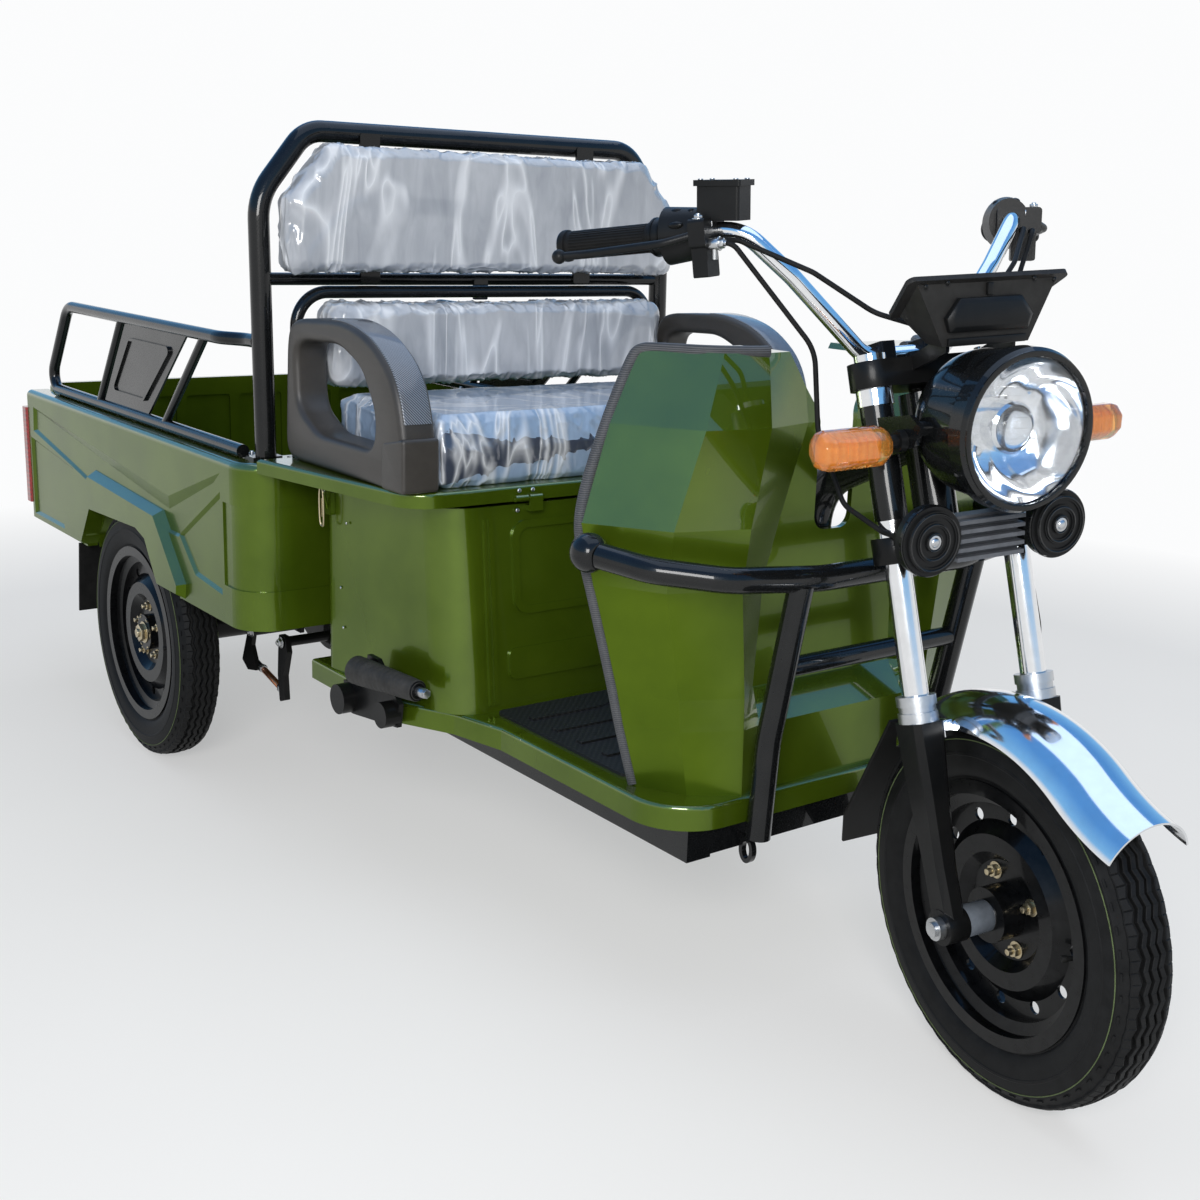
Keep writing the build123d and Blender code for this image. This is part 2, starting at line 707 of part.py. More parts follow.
# ---------------------------------------------------------------- frame
rail_top = deck_under
front_rail_top = sill_z
spring_y = 316.0
spring_w = 45.0
spring_reach = 320.0
spring_bolt_r = 6.0
leaf = 7.0
leaves = 4
spring_camber = 34.0
axle_z = tyre_r
spring_seat = axle_z + axle_tube_r + 4.0
spring_eye_z = spring_seat + (leaves - 1) * leaf + spring_camber + 10
kick_rear = 430.0
kick_front = 534.0
head_low = lower_yoke_base + yoke_thick + run_gap
head_high = upper_yoke_base - run_gap
head = placed(front, axis_foot, (math.cos(axis_lean), 0, math.sin(axis_lean)), axis_dir)

with BuildPart() as chassis_frame:
    rail = ((bed_rear + 30, rail_top), (kick_rear, rail_top), (kick_front, front_rail_top),
            (rail_front + stretch, front_rail_top),
            (rail_front + stretch, front_rail_top - rail_h),
            (kick_front - 12, front_rail_top - rail_h), (kick_rear - 12, rail_top - rail_h),
            (bed_rear + 30, rail_top - rail_h))
    plate(side(body, -(rail_y - rail_w / 2)), rail, rail_w)
    mirror(about=middle)
    for x, top in ((bed_rear + 40, rail_top), (-330, rail_top), (290, rail_top),
                   (620, front_rail_top), (980, front_rail_top),
                   (rail_front + stretch - 45, front_rail_top)):
        block(level(body, top - rail_h + 4), x, x + 45, -rail_y, rail_y, rail_h - 8)
    # Bolts that carry the spring eyes
    for x in (-spring_reach - 6, spring_reach + 6):
        bolt = placed(body, (x, 0, spring_eye_z), (1, 0, 0), (0, -1, 0))
        round_bar(bolt, spring_bolt_r, spring_y + spring_w / 2 + 8, both=True)
    # The neck rises behind the shield and carries the steering head
    tube(front, [(neck_x, 0, front_rail_top - 20), (neck_x, 0, 700), (1500, 0, 789)], [90],
         neck_r)
    round_bar(placed(head, (0, 0, head_low)), head_tube_r, head_high - head_low)
    round_bar(placed(head, (0, 0, head_low - 1)), stem_r + seat_gap, head_high - head_low + 2,
              mode=Mode.SUBTRACT)
save(chassis_frame, "chassis_frame")

# ---------------------------------------------------------------- rear axle and springs
axle_end = drum_in
drum_r = 82.0

with BuildPart() as rear_axle:
    centre = placed(body, (0, 0, axle_z), (1, 0, 0), (0, 1, 0))
    round_bar(centre, axle_tube_r, axle_end, both=True)
    round_bar(centre, 88, 62, both=True)
    round_bar(centre, 60, 96, both=True)
    motor = placed(body, (128, -34, axle_z + 12), (1, 0, 0), (0, 1, 0))
    round_bar(motor, 72, 168)
    block(level(body, axle_z - 30), 30, 110, -20, 40, 72)
    for hand in (-1, 1):
        drum = placed(body, (0, hand * drum_in, axle_z), (1, 0, 0), (0, hand, 0))
        round_bar(drum, drum_r, drum_out - drum_in)
        round_bar(drum, rear_pin_r, track_half + axle_stub - drum_in)
        block(level(body, axle_z + 20), -30, 30, hand * spring_y - 22, hand * spring_y + 22,
              axle_tube_r + 4 - 20)
save(rear_axle, "rear_axle")

with BuildPart() as leaf_springs:
    for n in range(leaves):
        low = spring_seat + n * leaf
        reach = spring_reach - (leaves - 1 - n) * 62
        rise = spring_camber * (reach / spring_reach) ** 2
        with BuildSketch(side(body, -(spring_y - spring_w / 2)), mode=Mode.PRIVATE) as strip:
            with BuildLine():
                ThreePointArc((-reach, low + rise), (0, low), (reach, low + rise))
                Line((reach, low + rise), (reach, low + rise + leaf))
                ThreePointArc((reach, low + rise + leaf), (0, low + leaf),
                              (-reach, low + rise + leaf))
                Line((-reach, low + rise + leaf), (-reach, low + rise))
            make_face()
        extrude(strip.sketch, amount=spring_w)
    block(level(body, spring_seat), -46, 46, -(spring_y + 21), -(spring_y - 21), leaves * leaf + 7)
    for x in (-spring_reach - 6, spring_reach + 6):
        eye = placed(body, (x, -(spring_y - spring_w / 2), spring_eye_z), (1, 0, 0), (0, -1, 0))
        round_bar(eye, 14, spring_w)
        round_bar(eye, spring_bolt_r + seat_gap, spring_w, mode=Mode.SUBTRACT)
    mirror(about=middle)
save(leaf_springs, "leaf_springs")

# ---------------------------------------------------------------- lamps, flaps, pegs, linkage
with BuildPart() as tail_lamps:
    for hand in (-1, 1):
        low, high = sorted((hand * (inner_half + 30), hand * (bed_half + 4)))
        block(level(body, 392), bed_rear - 30, bed_rear, low, high, 206, 6)
save(tail_lamps, "tail_lamps")

flap_sheet = 5.0
with BuildPart() as rear_mudflaps:
    flap = ((-288, skirt_z - seat_gap), (-283, skirt_z - seat_gap), (-303, 214), (-308, 214))
    plate(side(body, -378), flap, 92)
    mirror(about=middle)
save(rear_mudflaps, "rear_mudflaps")

peg_r = 21.0
with BuildPart() as foot_pegs:
    plate(side(body, -362.3), ((672, 262), (700, 262), (840, 280), (846, 318), (778, 372),
                               (748, 372), (735, 318), (668, 310)), 8)
    for x, z, r in ((687, 286, 24), (825, 299, 20)):
        round_bar(placed(body, (x, -366, z), (1, 0, 0), (0, -1, 0)), r, 26)
    peg_root = Vector(752, -392, 352)
    peg_tip = Vector(905, -372, 356)
    run = (peg_tip - peg_root).normalized()
    with BuildSketch(placed(body, peg_root, (0, 0, 1), run), mode=Mode.PRIVATE) as thick_end:
        Circle(peg_r)
    with BuildSketch(placed(body, peg_tip, (0, 0, 1), run), mode=Mode.PRIVATE) as thin_end:
        Circle(peg_r - 6)
    loft([thick_end.sketch, thin_end.sketch])
    round_bar(placed(body, peg_tip, (0, 0, 1), run), 7, 16)
    mirror(about=middle)
save(foot_pegs, "foot_pegs")

with BuildPart() as brake_linkage:
    shaft = placed(body, (392, -rail_y - rail_w / 2, 300), (1, 0, 0), (0, -1, 0))
    plate(side(body, -(rail_y + rail_w / 2)), ((372, 350), (412, 350), (406, 286), (378, 286)), 8)
    round_bar(shaft, 9, 96)
    plate(side(body, -336), ((380, 312), (404, 312), (412, 286), (396, 240), (400, 196),
                             (378, 188), (372, 236), (376, 286)), 10, 4)
    plate(side(body, -(rail_y + rail_w / 2)), ((250, 350), (290, 350), (282, 278), (256, 278)), 8)
    second = placed(body, (269, -rail_y - rail_w / 2, 290), (1, 0, 0), (0, -1, 0))
    round_bar(second, 8, 98)
    plate(side(body, -340), ((259, 302), (280, 302), (268, 264), (290, 222), (250, 214),
                             (226, 228)), 8, 3)
    tube(body, [(262, -339, 234), (388, -339, 206)], 0, 5)
save(brake_linkage, "brake_linkage")

# ---------------------------------------------------------------- seat hinges and latch
seat_hinge_z = lid_base + 5.0
seat_hinge_x = lid_front + 6.0
seat_knuckle_r = 5.0
with seat_lid:
    for y in (-190, 190):
        barrel = placed(body, (seat_hinge_x, y - 24, seat_hinge_z), (1, 0, 0), (0, 1, 0))
        round_bar(barrel, seat_knuckle_r, 22)
        block(placed(body, (0, y - 24, 0), (1, 0, 0), (0, 1, 0)), lid_front - 2,
              seat_hinge_x, -(seat_hinge_z + 5), -(seat_hinge_z + 1), 22)
        round_bar(barrel, 2.3, 22, mode=Mode.SUBTRACT)
save(seat_lid, "seat_lid")

with seat_bucket:
    for y in (-190, 190):
        barrel = placed(body, (seat_hinge_x, y + 1, seat_hinge_z), (1, 0, 0), (0, 1, 0))
        round_bar(barrel, seat_knuckle_r, 22)
        block(placed(body, (0, y + 1, 0), (1, 0, 0), (0, 1, 0)), bucket_front_top - 1,
              seat_hinge_x + 4, -(bucket_top - 1), -(bucket_top - 9), 22)
        block(placed(body, (0, y + 1, 0), (1, 0, 0), (0, 1, 0)), seat_hinge_x,
              seat_hinge_x + 5, -seat_hinge_z, -(bucket_top - 9), 22)
        round_bar(placed(body, (seat_hinge_x, y + 3, seat_hinge_z), (1, 0, 0), (0, -1, 0)), 2, 26)
    latch = side(body, -357)
    block(latch, 596, 618, 566, 606, 7, 4)
    tube(body, [(607, -365, 576), (607, -371, 600), (607, -365, 616)], [12], 2.5)
save(seat_bucket, "seat_bucket")

# ---------------------------------------------------------------- fork
leg_lug = 15.0
axle_u = (front_station - trail_station) * math.cos(axis_lean)
axle_w = -(front_station - trail_station) * math.sin(axis_lean)
ear_u = 111.0
ear_w = 574.0


with BuildPart() as fork_yokes:
    for low in (lower_yoke_base, upper_yoke_base):
        with BuildSketch(placed(fork, (0, 0, low)), mode=Mode.PRIVATE) as plan:
            with Locations((fork_lead, -fork_half), (fork_lead, fork_half)):
                Circle(28)
            with Locations((-2, 0)):
                Circle(32)
            make_hull()
        extrude(plan.sketch, amount=yoke_thick)
        for y in (-fork_half, fork_half):
            round_bar(placed(fork, (fork_lead, y, low)), stanchion_r + seat_gap, yoke_thick,
                      mode=Mode.SUBTRACT)
    round_bar(placed(fork, (0, 0, lower_yoke_base)), stem_r, upper_yoke_base - lower_yoke_base + 4)
    # Handlebar clamps and the steering nut on the upper yoke
    for y in (-32, 32):
        block(placed(fork, (0, 0, upper_yoke_base + yoke_thick)), -40, -6, y - 11, y + 11, 31, 3)
    round_bar(placed(fork, (10, 0, upper_yoke_base + yoke_thick)), 17, 12)
    # Stays that carry the dash housing
    for y in (-48, 48):
        plate(side(steered, y + 2.5), ((1490, 872), (1524, 872), (1596, dash_base - 8),
                                       (1596, dash_base - seat_gap),
                                       (1566, dash_base - seat_gap)), 5)
    bar_bore = placed(fork, (bar_u, 0, bar_w), (1, 0, 0), (0, 1, 0))
    round_bar(bar_bore, handle_r + seat_gap, 60, both=True, mode=Mode.SUBTRACT)
save(fork_yokes, "fork_yokes")

with BuildPart() as fork_stanchions:
    for y in (-fork_half, fork_half):
        foot = placed(fork, (fork_lead, y, collar_base - 30))
        round_bar(foot, stanchion_r, upper_yoke_base + yoke_thick - collar_base + 30)
        for low in (lower_yoke_base + yoke_thick, upper_yoke_base - band_rise):
            round_bar(placed(fork, (fork_lead, y, low)), 22, band_rise)
        round_bar(placed(fork, (fork_lead, y, upper_yoke_base + yoke_thick)), 19, 9)
save(fork_stanchions, "fork_stanchions")

sleeve_low = lower_yoke_base + yoke_thick + band_rise
sleeve_high = upper_yoke_base - band_rise
with BuildPart() as fork_sleeves:
    for hand in (-1, 1):
        y = hand * fork_half
        round_bar(placed(fork, (fork_lead, y, sleeve_low)), 20, sleeve_high - sleeve_low)
        points = ((fork_lead + 4, 548), (ear_u, 556), (ear_u + 16, ear_w), (ear_u, 592),
                  (fork_lead + 4, 600))
        plate(placed(fork, (0, y + hand * 9 - 3, 0), (1, 0, 0), (0, -1, 0)), points, -6)
        round_bar(placed(fork, (fork_lead, y, sleeve_low)), stanchion_r + seat_gap,
                  sleeve_high - sleeve_low, mode=Mode.SUBTRACT)
save(fork_sleeves, "fork_sleeves")

with BuildPart() as fork_collars:
    for y in (-fork_half, fork_half):
        round_bar(placed(fork, (fork_lead, y, collar_base)), 24, 12, bore=stanchion_r + seat_gap)
        round_bar(placed(fork, (fork_lead, y, collar_base + 12)), 22, 8,
                  bore=stanchion_r + seat_gap)
        round_bar(placed(fork, (fork_lead, y, collar_base + 20)), 24, 12,
                  bore=stanchion_r + seat_gap)
save(fork_collars, "fork_collars")

with BuildPart() as fork_legs:
    for y in (-fork_half, fork_half):
        sections = []
        for w, u, half_u, half_y in ((collar_base, fork_lead, 25, 22), (150, fork_lead, 23, 18),
                                     (60, fork_lead + 2, 19, 15), (axle_w, axle_u, 20, 14)):
            with BuildSketch(placed(fork, (u, y, w)), mode=Mode.PRIVATE) as cut:
                Rectangle(2 * half_u, 2 * half_y)
                chamfer(cut.vertices(), 7)
            sections.append(cut.sketch)
        loft(sections, ruled=True)
        lug = placed(fork, (axle_u, y, axle_w), (1, 0, 0), (0, 1, 0))
        round_bar(lug, 22, leg_lug, both=True)
        round_bar(lug, front_pin_r + seat_gap, leg_lug + 5, both=True, mode=Mode.SUBTRACT)
        round_bar(placed(fork, (fork_lead, y, collar_base)), stanchion_r + seat_gap, -40,
                  mode=Mode.SUBTRACT)
save(fork_legs, "fork_legs")

with BuildPart() as front_axle:
    pin = placed(steered, (front_station, 0, tyre_r), (1, 0, 0), (0, 1, 0))
    round_bar(pin, front_pin_r, fork_half + 28, both=True)
    for hand in (-1, 1):
        seat = placed(steered, (front_station, hand * (fork_half + leg_lug), tyre_r), (1, 0, 0),
                      (0, hand, 0))
        round_bar(seat, 14, 9)
        bush = placed(steered, (front_station, hand * bush_start, tyre_r), (1, 0, 0), (0, hand, 0))
        round_bar(bush, 19, fork_half - leg_lug - bush_start)
save(front_axle, "front_axle")

guard_r = 265.0
guard_half = 57.0
guard_sheet = 2.5
guard_back = 134.0
guard_tip = 58.0
with BuildPart() as front_fender:
    with BuildLine(steer_middle, mode=Mode.PRIVATE) as route:
        over = CenterArc((front_station, tyre_r), guard_r, guard_back, guard_tip - guard_back)
        JernArc(over @ 1, over % 1, 240, 20)
    start = Plane(origin=route.line @ 0, x_dir=steered.y_dir, z_dir=route.line % 0)
    with BuildSketch(start, mode=Mode.PRIVATE) as section:
        with BuildLine():
            outer = ThreePointArc((-guard_half, -34), (0, 6), (guard_half, -34))
            Line(outer @ 1, (guard_half - guard_sheet, -35))
            inner = ThreePointArc((guard_half - guard_sheet, -35), (0, 6 - guard_sheet),
                                  (guard_sheet - guard_half, -35))
            Line(inner @ 1, outer @ 0)
        make_face()
    sweep(section.sketch, path=route.line)
    # Stays from the guard's sides to the fork legs
    stay_end = fork_half - 22 - seat_gap
    for low, high in ((-stay_end, 4 - guard_half), (guard_half - 4, stay_end)):
        block(placed(fork, (0, 0, collar_base - 22)), 16, 48, low, high, 20, 2)
save(front_fender, "front_fender")

with BuildPart() as front_mudflap:
    end = math.radians(guard_back)
    top = Vector(front_station + guard_r * math.cos(end) - 0.5 * math.sin(end), 0,
                 tyre_r + guard_r * math.sin(end) + 0.5 * math.cos(end))
    foot = Vector(1408, 0, 214)
    lean = (foot - top).normalized()
    across_flap = placed(steered, top, (0, 1, 0), (lean.Z, 0, -lean.X))
    length = (foot - top).length
    plate(across_flap, ((-50, 0), (50, 0), (58, length - 60), (40, length), (-40, length),
                        (-58, length - 60)), 4)
save(front_mudflap, "front_mudflap")

# ---------------------------------------------------------------- handlebar
bar_tip = Vector(1200, 341, 1019)
bar_knee = Vector(1398, 205, 1041)
grip_length = 124.0
grip_r = 17.0


def fork_point(u, y, w):
    """A point of the raked fork in the upright coordinates of the steered parts."""
    x = trail_station + u * math.cos(axis_lean) - w * math.sin(axis_lean)
    z = tyre_r + u * math.sin(axis_lean) + w * math.cos(axis_lean)
    return Vector(x, y, z)


def flip(point):
    """The same point on the other side."""
    return Vector(point.X, -point.Y, point.Z)


with BuildPart() as handlebar:
    right = [tuple(flip(bar_tip)), tuple(flip(bar_knee)), (1424, -150, 985),
             tuple(fork_point(bar_u, -58, bar_w))]
    tube(steered, mirrored(right), [50, 40, 36, 36, 40, 50], handle_r)
save(handlebar, "handlebar")

with BuildPart() as grips:
    for hand in (-1, 1):
        tip = bar_tip if hand > 0 else flip(bar_tip)
        knee = bar_knee if hand > 0 else flip(bar_knee)
        inward = (knee - tip).normalized()
        end = placed(steered, tip - inward * 6, (0, 0, 1), inward)
        round_bar(end, 19, 6)
        round_bar(placed(steered, tip, (0, 0, 1), inward), grip_r, grip_length,
                  bore=handle_r + seat_gap)
save(grips, "grips")

lever_r = 5.0
lever_ball_r = 9.0


def grip_frame(hand):
    """The grip's outer end and its direction inward on one side."""
    tip = bar_tip if hand > 0 else flip(bar_tip)
    knee = bar_knee if hand > 0 else flip(bar_knee)
    return tip, (knee - tip).normalized()


with BuildPart() as hand_controls:
    for hand in (-1, 1):
        tip, inward = grip_frame(hand)
        ahead = Vector(-hand * inward.Y, hand * inward.X, 0).normalized()
        rise = Vector(0, 0, 1)
        seat = placed(steered, tip + inward * (grip_length + 1), (0, 0, 1), inward)
        round_bar(seat, 23, 20)
        pod = placed(steered, tip + inward * (grip_length + 20), (0, 0, 1), inward)
        with BuildSketch(pod, mode=Mode.PRIVATE) as big:
            Ellipse(35, 31)
        extrude(big.sketch, amount=46, taper=6)
        # The lever's bracket round the bar, the switch box under it and the lever itself
        bracket = placed(steered, tip + inward * 189, ahead, inward)
        block(bracket, -17, 40, -17, 17, 22, 5)
        block(bracket, 2, 34, -52 * hand if hand > 0 else 14, -14 * hand if hand > 0 else 52, 20, 3)
        knuckle = tip + inward * 198 + ahead * 30
        bend = tip + inward * 160 + ahead * 50 - rise * 8
        reach = tip + inward * 50 + ahead * 43 - rise * 12
        ball = tip + inward * 16 + ahead * 52 - rise * 12
        tube(steered, [tuple(knuckle), tuple(bend), tuple(reach), tuple(ball)], [30, 60], lever_r)
        with Locations(placed(steered, ball).location):
            Sphere(lever_ball_r)
        round_bar(seat, handle_r + seat_gap, 90, mode=Mode.SUBTRACT)
    # The brake's fluid box stands on the right bracket, level
    tip, inward = grip_frame(-1)
    level_run = Vector(inward.X, inward.Y, 0).normalized()
    box = placed(steered, tip + inward * 189 + Vector(0, 0, 15), level_run)
    block(box, 0, 56, -19, 19, 40, 4)
    block(placed(box, (0, 0, 40)), -3, 59, -22, 22, 7, 3)
save(hand_controls, "hand_controls")

# Cables and hoses keep to the bars and end on what they serve
horn_z = 696.0
cable_r = 3.2
hose_r = 4.5
with BuildPart() as control_hoses:
    for hand in (-1, 1):
        tip, inward = grip_frame(hand)
        ahead = Vector(-hand * inward.Y, hand * inward.X, 0).normalized()
        start = tip + inward * 213 + ahead * 26 + Vector(0, 0, -14)
        tube(steered, [tuple(start), tuple(start + inward * 28), (1462, hand * 140, 900),
                       (1470, hand * 138, 800), (1520, hand * 132, 720),
                       (1575, hand * 114, horn_z), (1609.7, hand * 114, horn_z)],
             [18, 60, 60, 30, 14], cable_r)
        start = tip + inward * 213 + ahead * 14 + Vector(0, 0, -12)
        tube(steered, [tuple(start), tuple(start + inward * 30), (1470, hand * 150, 992),
                       (1502, hand * 84, 944), (1553, hand * 46, 928)],
             [18, 26, 40], cable_r)
save(control_hoses, "control_hoses")

with BuildPart() as brake_hose:
    stations = ((14, 103, lower_yoke_base - seat_gap), (14, 103, 400), (0, 132, 372),
                (0, 134, 316), (20, 107.5, 290), (20, 107.5, collar_base + collar_rise + seat_gap))
    tube(steered, [tuple(fork_point(*station)) for station in stations], [14, 24, 24, 12], hose_r)
save(brake_hose, "brake_hose")

# ---------------------------------------------------------------- headlamp
lamp_z = 822.0
lamp_front = 1688.0
lamp_back = 1542.0
bezel_r = 94.0
lens_r = 84.0
shell_t = 3.0
pole_r = 14.0  # the flat in the middle of a domed piece
dome_x = 1610.0
dome_r = 86.0
bowl_x = 1612.0
lamp_axis = Axis(placed(steered, (0, 0, lamp_z)).origin, steered.x_dir)
lamp_plane = placed(steered, (0, 0, lamp_z), (1, 0, 0), (0, -1, 0))

with BuildPart() as headlamp_shell:
    with BuildSketch(lamp_plane):
        with BuildLine():
            Line((lamp_back, 0), (lamp_back, pole_r))
            TangentArc((lamp_back, pole_r), (dome_x, dome_r), tangent=(0, 1))
            Polyline((dome_x, dome_r), (lamp_front - 28, bezel_r - 5), (lamp_front - 26, bezel_r),
                     (lamp_front - 6, bezel_r), (lamp_front, bezel_r - 4),
                     (lamp_front, lens_r + seat_gap), (lamp_front - 6, lens_r + seat_gap),
                     (lamp_front - 8, lens_r + 2), (dome_x + 1, dome_r - shell_t - 1))
            TangentArc((lamp_back + shell_t, pole_r), (dome_x + 1, dome_r - shell_t - 1),
                       tangent=(0, 1))
            Polyline((lamp_back + shell_t, pole_r), (lamp_back + shell_t, 0), (lamp_back, 0))
        make_face()
    revolve(axis=lamp_axis)
    # Pivot bosses between the ears
    for hand in (-1, 1):
        pivot = placed(steered, (1607, hand * (dome_r - 2.8), 821), (1, 0, 0), (0, hand, 0))
        round_bar(pivot, 9, fork_half + 6 - seat_gap - dome_r + 2.8)
save(headlamp_shell, "headlamp_shell")

with BuildPart() as headlamp_reflector:
    with BuildSketch(lamp_plane):
        with BuildLine():
            Line((bowl_x, 0), (bowl_x, pole_r))
            TangentArc((bowl_x, pole_r), (lamp_front - 10, lens_r - 1), tangent=(0, 1))
            Line((lamp_front - 10, lens_r - 1), (lamp_front - 10, lens_r + 1.5))
            TangentArc((bowl_x - 2, pole_r), (lamp_front - 10, lens_r + 1.5), tangent=(0, 1))
            Polyline((bowl_x - 2, pole_r), (bowl_x - 2, 0), (bowl_x, 0))
        make_face()
    revolve(axis=lamp_axis)
    round_bar(placed(steered, (bowl_x - 1, 0, lamp_z), (0, 1, 0), (1, 0, 0)), 30, 46)
save(headlamp_reflector, "headlamp_reflector")

with BuildPart() as headlamp_lens:
    with BuildSketch(lamp_plane):
        with BuildLine():
            TangentArc((lamp_front + 8, 0), (lamp_front - 2, lens_r), tangent=(0, 1))
            Line((lamp_front - 2, lens_r), (lamp_front - 6, lens_r))
            TangentArc((lamp_front + 4, 0), (lamp_front - 6, lens_r), tangent=(0, 1))
            Line((lamp_front + 4, 0), (lamp_front + 8, 0))
        make_face()
    revolve(axis=lamp_axis)
save(headlamp_lens, "headlamp_lens")

# ---------------------------------------------------------------- indicators, horns, cover
stem_root = fork_half + 12 + seat_gap
stem_length = 20.0
with BuildPart() as indicator_stems:
    for hand in (-1, 1):
        stem = placed(steered, (1590, hand * stem_root, 806), (1, 0, 0), (0, hand, 0))
        round_bar(stem, 13, 10)
        round_bar(stem, 8, stem_length)
save(indicator_stems, "indicator_stems")

with BuildPart() as indicator_lenses:
    for hand in (-1, 1):
        root = placed(steered, (1588, hand * (stem_root + stem_length + seat_gap), 803), (1, 0, 0), (0, hand, 0))
        with BuildSketch(root, mode=Mode.PRIVATE) as oval:
            Ellipse(25, 21)
        extrude(oval.sketch, amount=100)
        ends = indicator_lenses.part.faces().filter_by(
            lambda face: face.geom_type == GeomType.PLANE)
    fillet(ends.edges(), 12)
save(indicator_lenses, "indicator_lenses")

with BuildPart() as horns:
    for hand in (-1, 1):
        back = placed(steered, (1616, hand * 93, horn_z), (0, 1, 0), (1, 0, 0))
        round_bar(back, 30, 12)
        with BuildSketch(placed(steered, (1626, hand * 93, horn_z), (0, 1, 0), (1, 0, 0)),
                         mode=Mode.PRIVATE) as disc:
            Circle(41)
        extrude(disc.sketch, amount=16)
        round_bar(placed(steered, (1642, hand * 93, horn_z), (0, 1, 0), (1, 0, 0)), 36, 4)
        round_bar(placed(steered, (1646, hand * 93, horn_z), (0, 1, 0), (1, 0, 0)), 30, -2,
                  bore=24, mode=Mode.SUBTRACT)
        round_bar(placed(steered, (1646, hand * 93, horn_z), (0, 1, 0), (1, 0, 0)), 18, -2,
                  bore=12, mode=Mode.SUBTRACT)
    # The strap that ties both horns to the lower yoke
    for low, high in ((-124, -50.3), (50.3, 124)):
        block(placed(steered, (0, 0, horn_z - 8)), 1610, 1617, low, high, 16)
save(horns, "horns")

with BuildPart() as finned_cover:
    block(placed(steered, (0, 0, 662)), 1604, 1622, -50, 50, 54, 4)
    for n in range(5):
        block(placed(steered, (0, 0, 664 + n * 11)), 1612, 1634, -49, 49, 5)
    block(placed(fork, (0, 0, lower_yoke_base + 6)), fork_lead + 28 + seat_gap, 76, -24, 24, 20)
save(finned_cover, "finned_cover")

# ---------------------------------------------------------------- dash housing
with BuildPart() as dash_housing:
    tilt = math.radians(37)
    brim = placed(steered, (1580, 0, 965), (math.cos(tilt), 0, math.sin(tilt)),
                  (-math.sin(tilt), 0, math.cos(tilt)))
    with BuildSketch(brim, mode=Mode.PRIVATE) as flange:
        with BuildLine():
            Polyline((38, -116), (38, 116), (-40, 96), (-40, -96), close=True)
        make_face()
        fillet(flange.vertices(), 8)
    extrude(flange.sketch, amount=6)
    with BuildSketch(placed(brim, (0, 0, 1)), mode=Mode.PRIVATE) as upper:
        with BuildLine():
            Polyline((30, -100), (30, 100), (-36, 84), (-36, -84), close=True)
        make_face()
    with BuildSketch(placed(steered, (0, 0, dash_base)), mode=Mode.PRIVATE) as lower:
        with BuildLine():
            Polyline((1604, -62), (1604, 62), (1566, 56), (1566, -56), close=True)
        make_face()
    loft([lower.sketch, upper.sketch], ruled=True)
save(dash_housing, "dash_housing")
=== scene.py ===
import bpy
import bmesh
import json
import math
from mathutils import Matrix, Vector, noise


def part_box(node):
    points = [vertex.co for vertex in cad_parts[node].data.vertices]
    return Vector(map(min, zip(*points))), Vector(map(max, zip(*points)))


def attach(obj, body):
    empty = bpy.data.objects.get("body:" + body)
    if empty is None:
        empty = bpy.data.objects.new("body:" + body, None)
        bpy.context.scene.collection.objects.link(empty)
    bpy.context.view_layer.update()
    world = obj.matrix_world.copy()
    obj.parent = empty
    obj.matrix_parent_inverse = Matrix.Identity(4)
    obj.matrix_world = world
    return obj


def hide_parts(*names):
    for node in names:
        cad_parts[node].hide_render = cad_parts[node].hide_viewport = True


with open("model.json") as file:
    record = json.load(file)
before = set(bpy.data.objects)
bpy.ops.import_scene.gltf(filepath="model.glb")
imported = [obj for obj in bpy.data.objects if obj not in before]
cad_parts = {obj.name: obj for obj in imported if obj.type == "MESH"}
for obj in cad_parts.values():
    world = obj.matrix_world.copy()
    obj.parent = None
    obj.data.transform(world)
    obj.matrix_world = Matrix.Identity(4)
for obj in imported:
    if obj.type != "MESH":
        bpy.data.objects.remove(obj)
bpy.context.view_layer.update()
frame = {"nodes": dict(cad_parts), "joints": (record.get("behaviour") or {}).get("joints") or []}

# Electric cargo tricycle: olive green pressings, black tubes and plastics, chrome and zinc,
# and three cushions still wrapped in their clear film. Metres; +X forward, +Y left, +Z up.


# ---------------------------------------------------------------- shader maths
class Value:
    """A number inside a material, so that sums and products read as sums and products."""

    def __init__(self, tree, socket):
        self.tree = tree
        self.socket = socket

    def math(self, operation, *others):
        node = self.tree.nodes.new("ShaderNodeMath")
        node.operation = operation
        for slot, value in zip(node.inputs, (self,) + others):
            if isinstance(value, Value):
                self.tree.links.new(value.socket, slot)
            else:
                slot.default_value = value
        return Value(self.tree, node.outputs[0])

    def __add__(self, other):
        return self.math("ADD", other)

    __radd__ = __add__

    def __mul__(self, other):
        return self.math("MULTIPLY", other)

    __rmul__ = __mul__

    def __sub__(self, other):
        return self.math("SUBTRACT", other)

    def __rsub__(self, other):
        return (self * -1.0) + other

    def sin(self):
        return self.math("SINE")

    def wave(self):
        """A sine that runs from 0 to 1."""
        return self.sin() * 0.5 + 0.5

    def fraction(self):
        return self.math("FRACT")

    def absolute(self):
        return self.math("ABSOLUTE")

    def above(self, limit):
        return self.math("GREATER_THAN", limit)

    def power(self, exponent):
        return self.math("POWER", exponent)

    def at_least(self, other):
        return self.math("MAXIMUM", other)

    def clamp(self):
        return self.at_least(0.0).math("MINIMUM", 1.0)


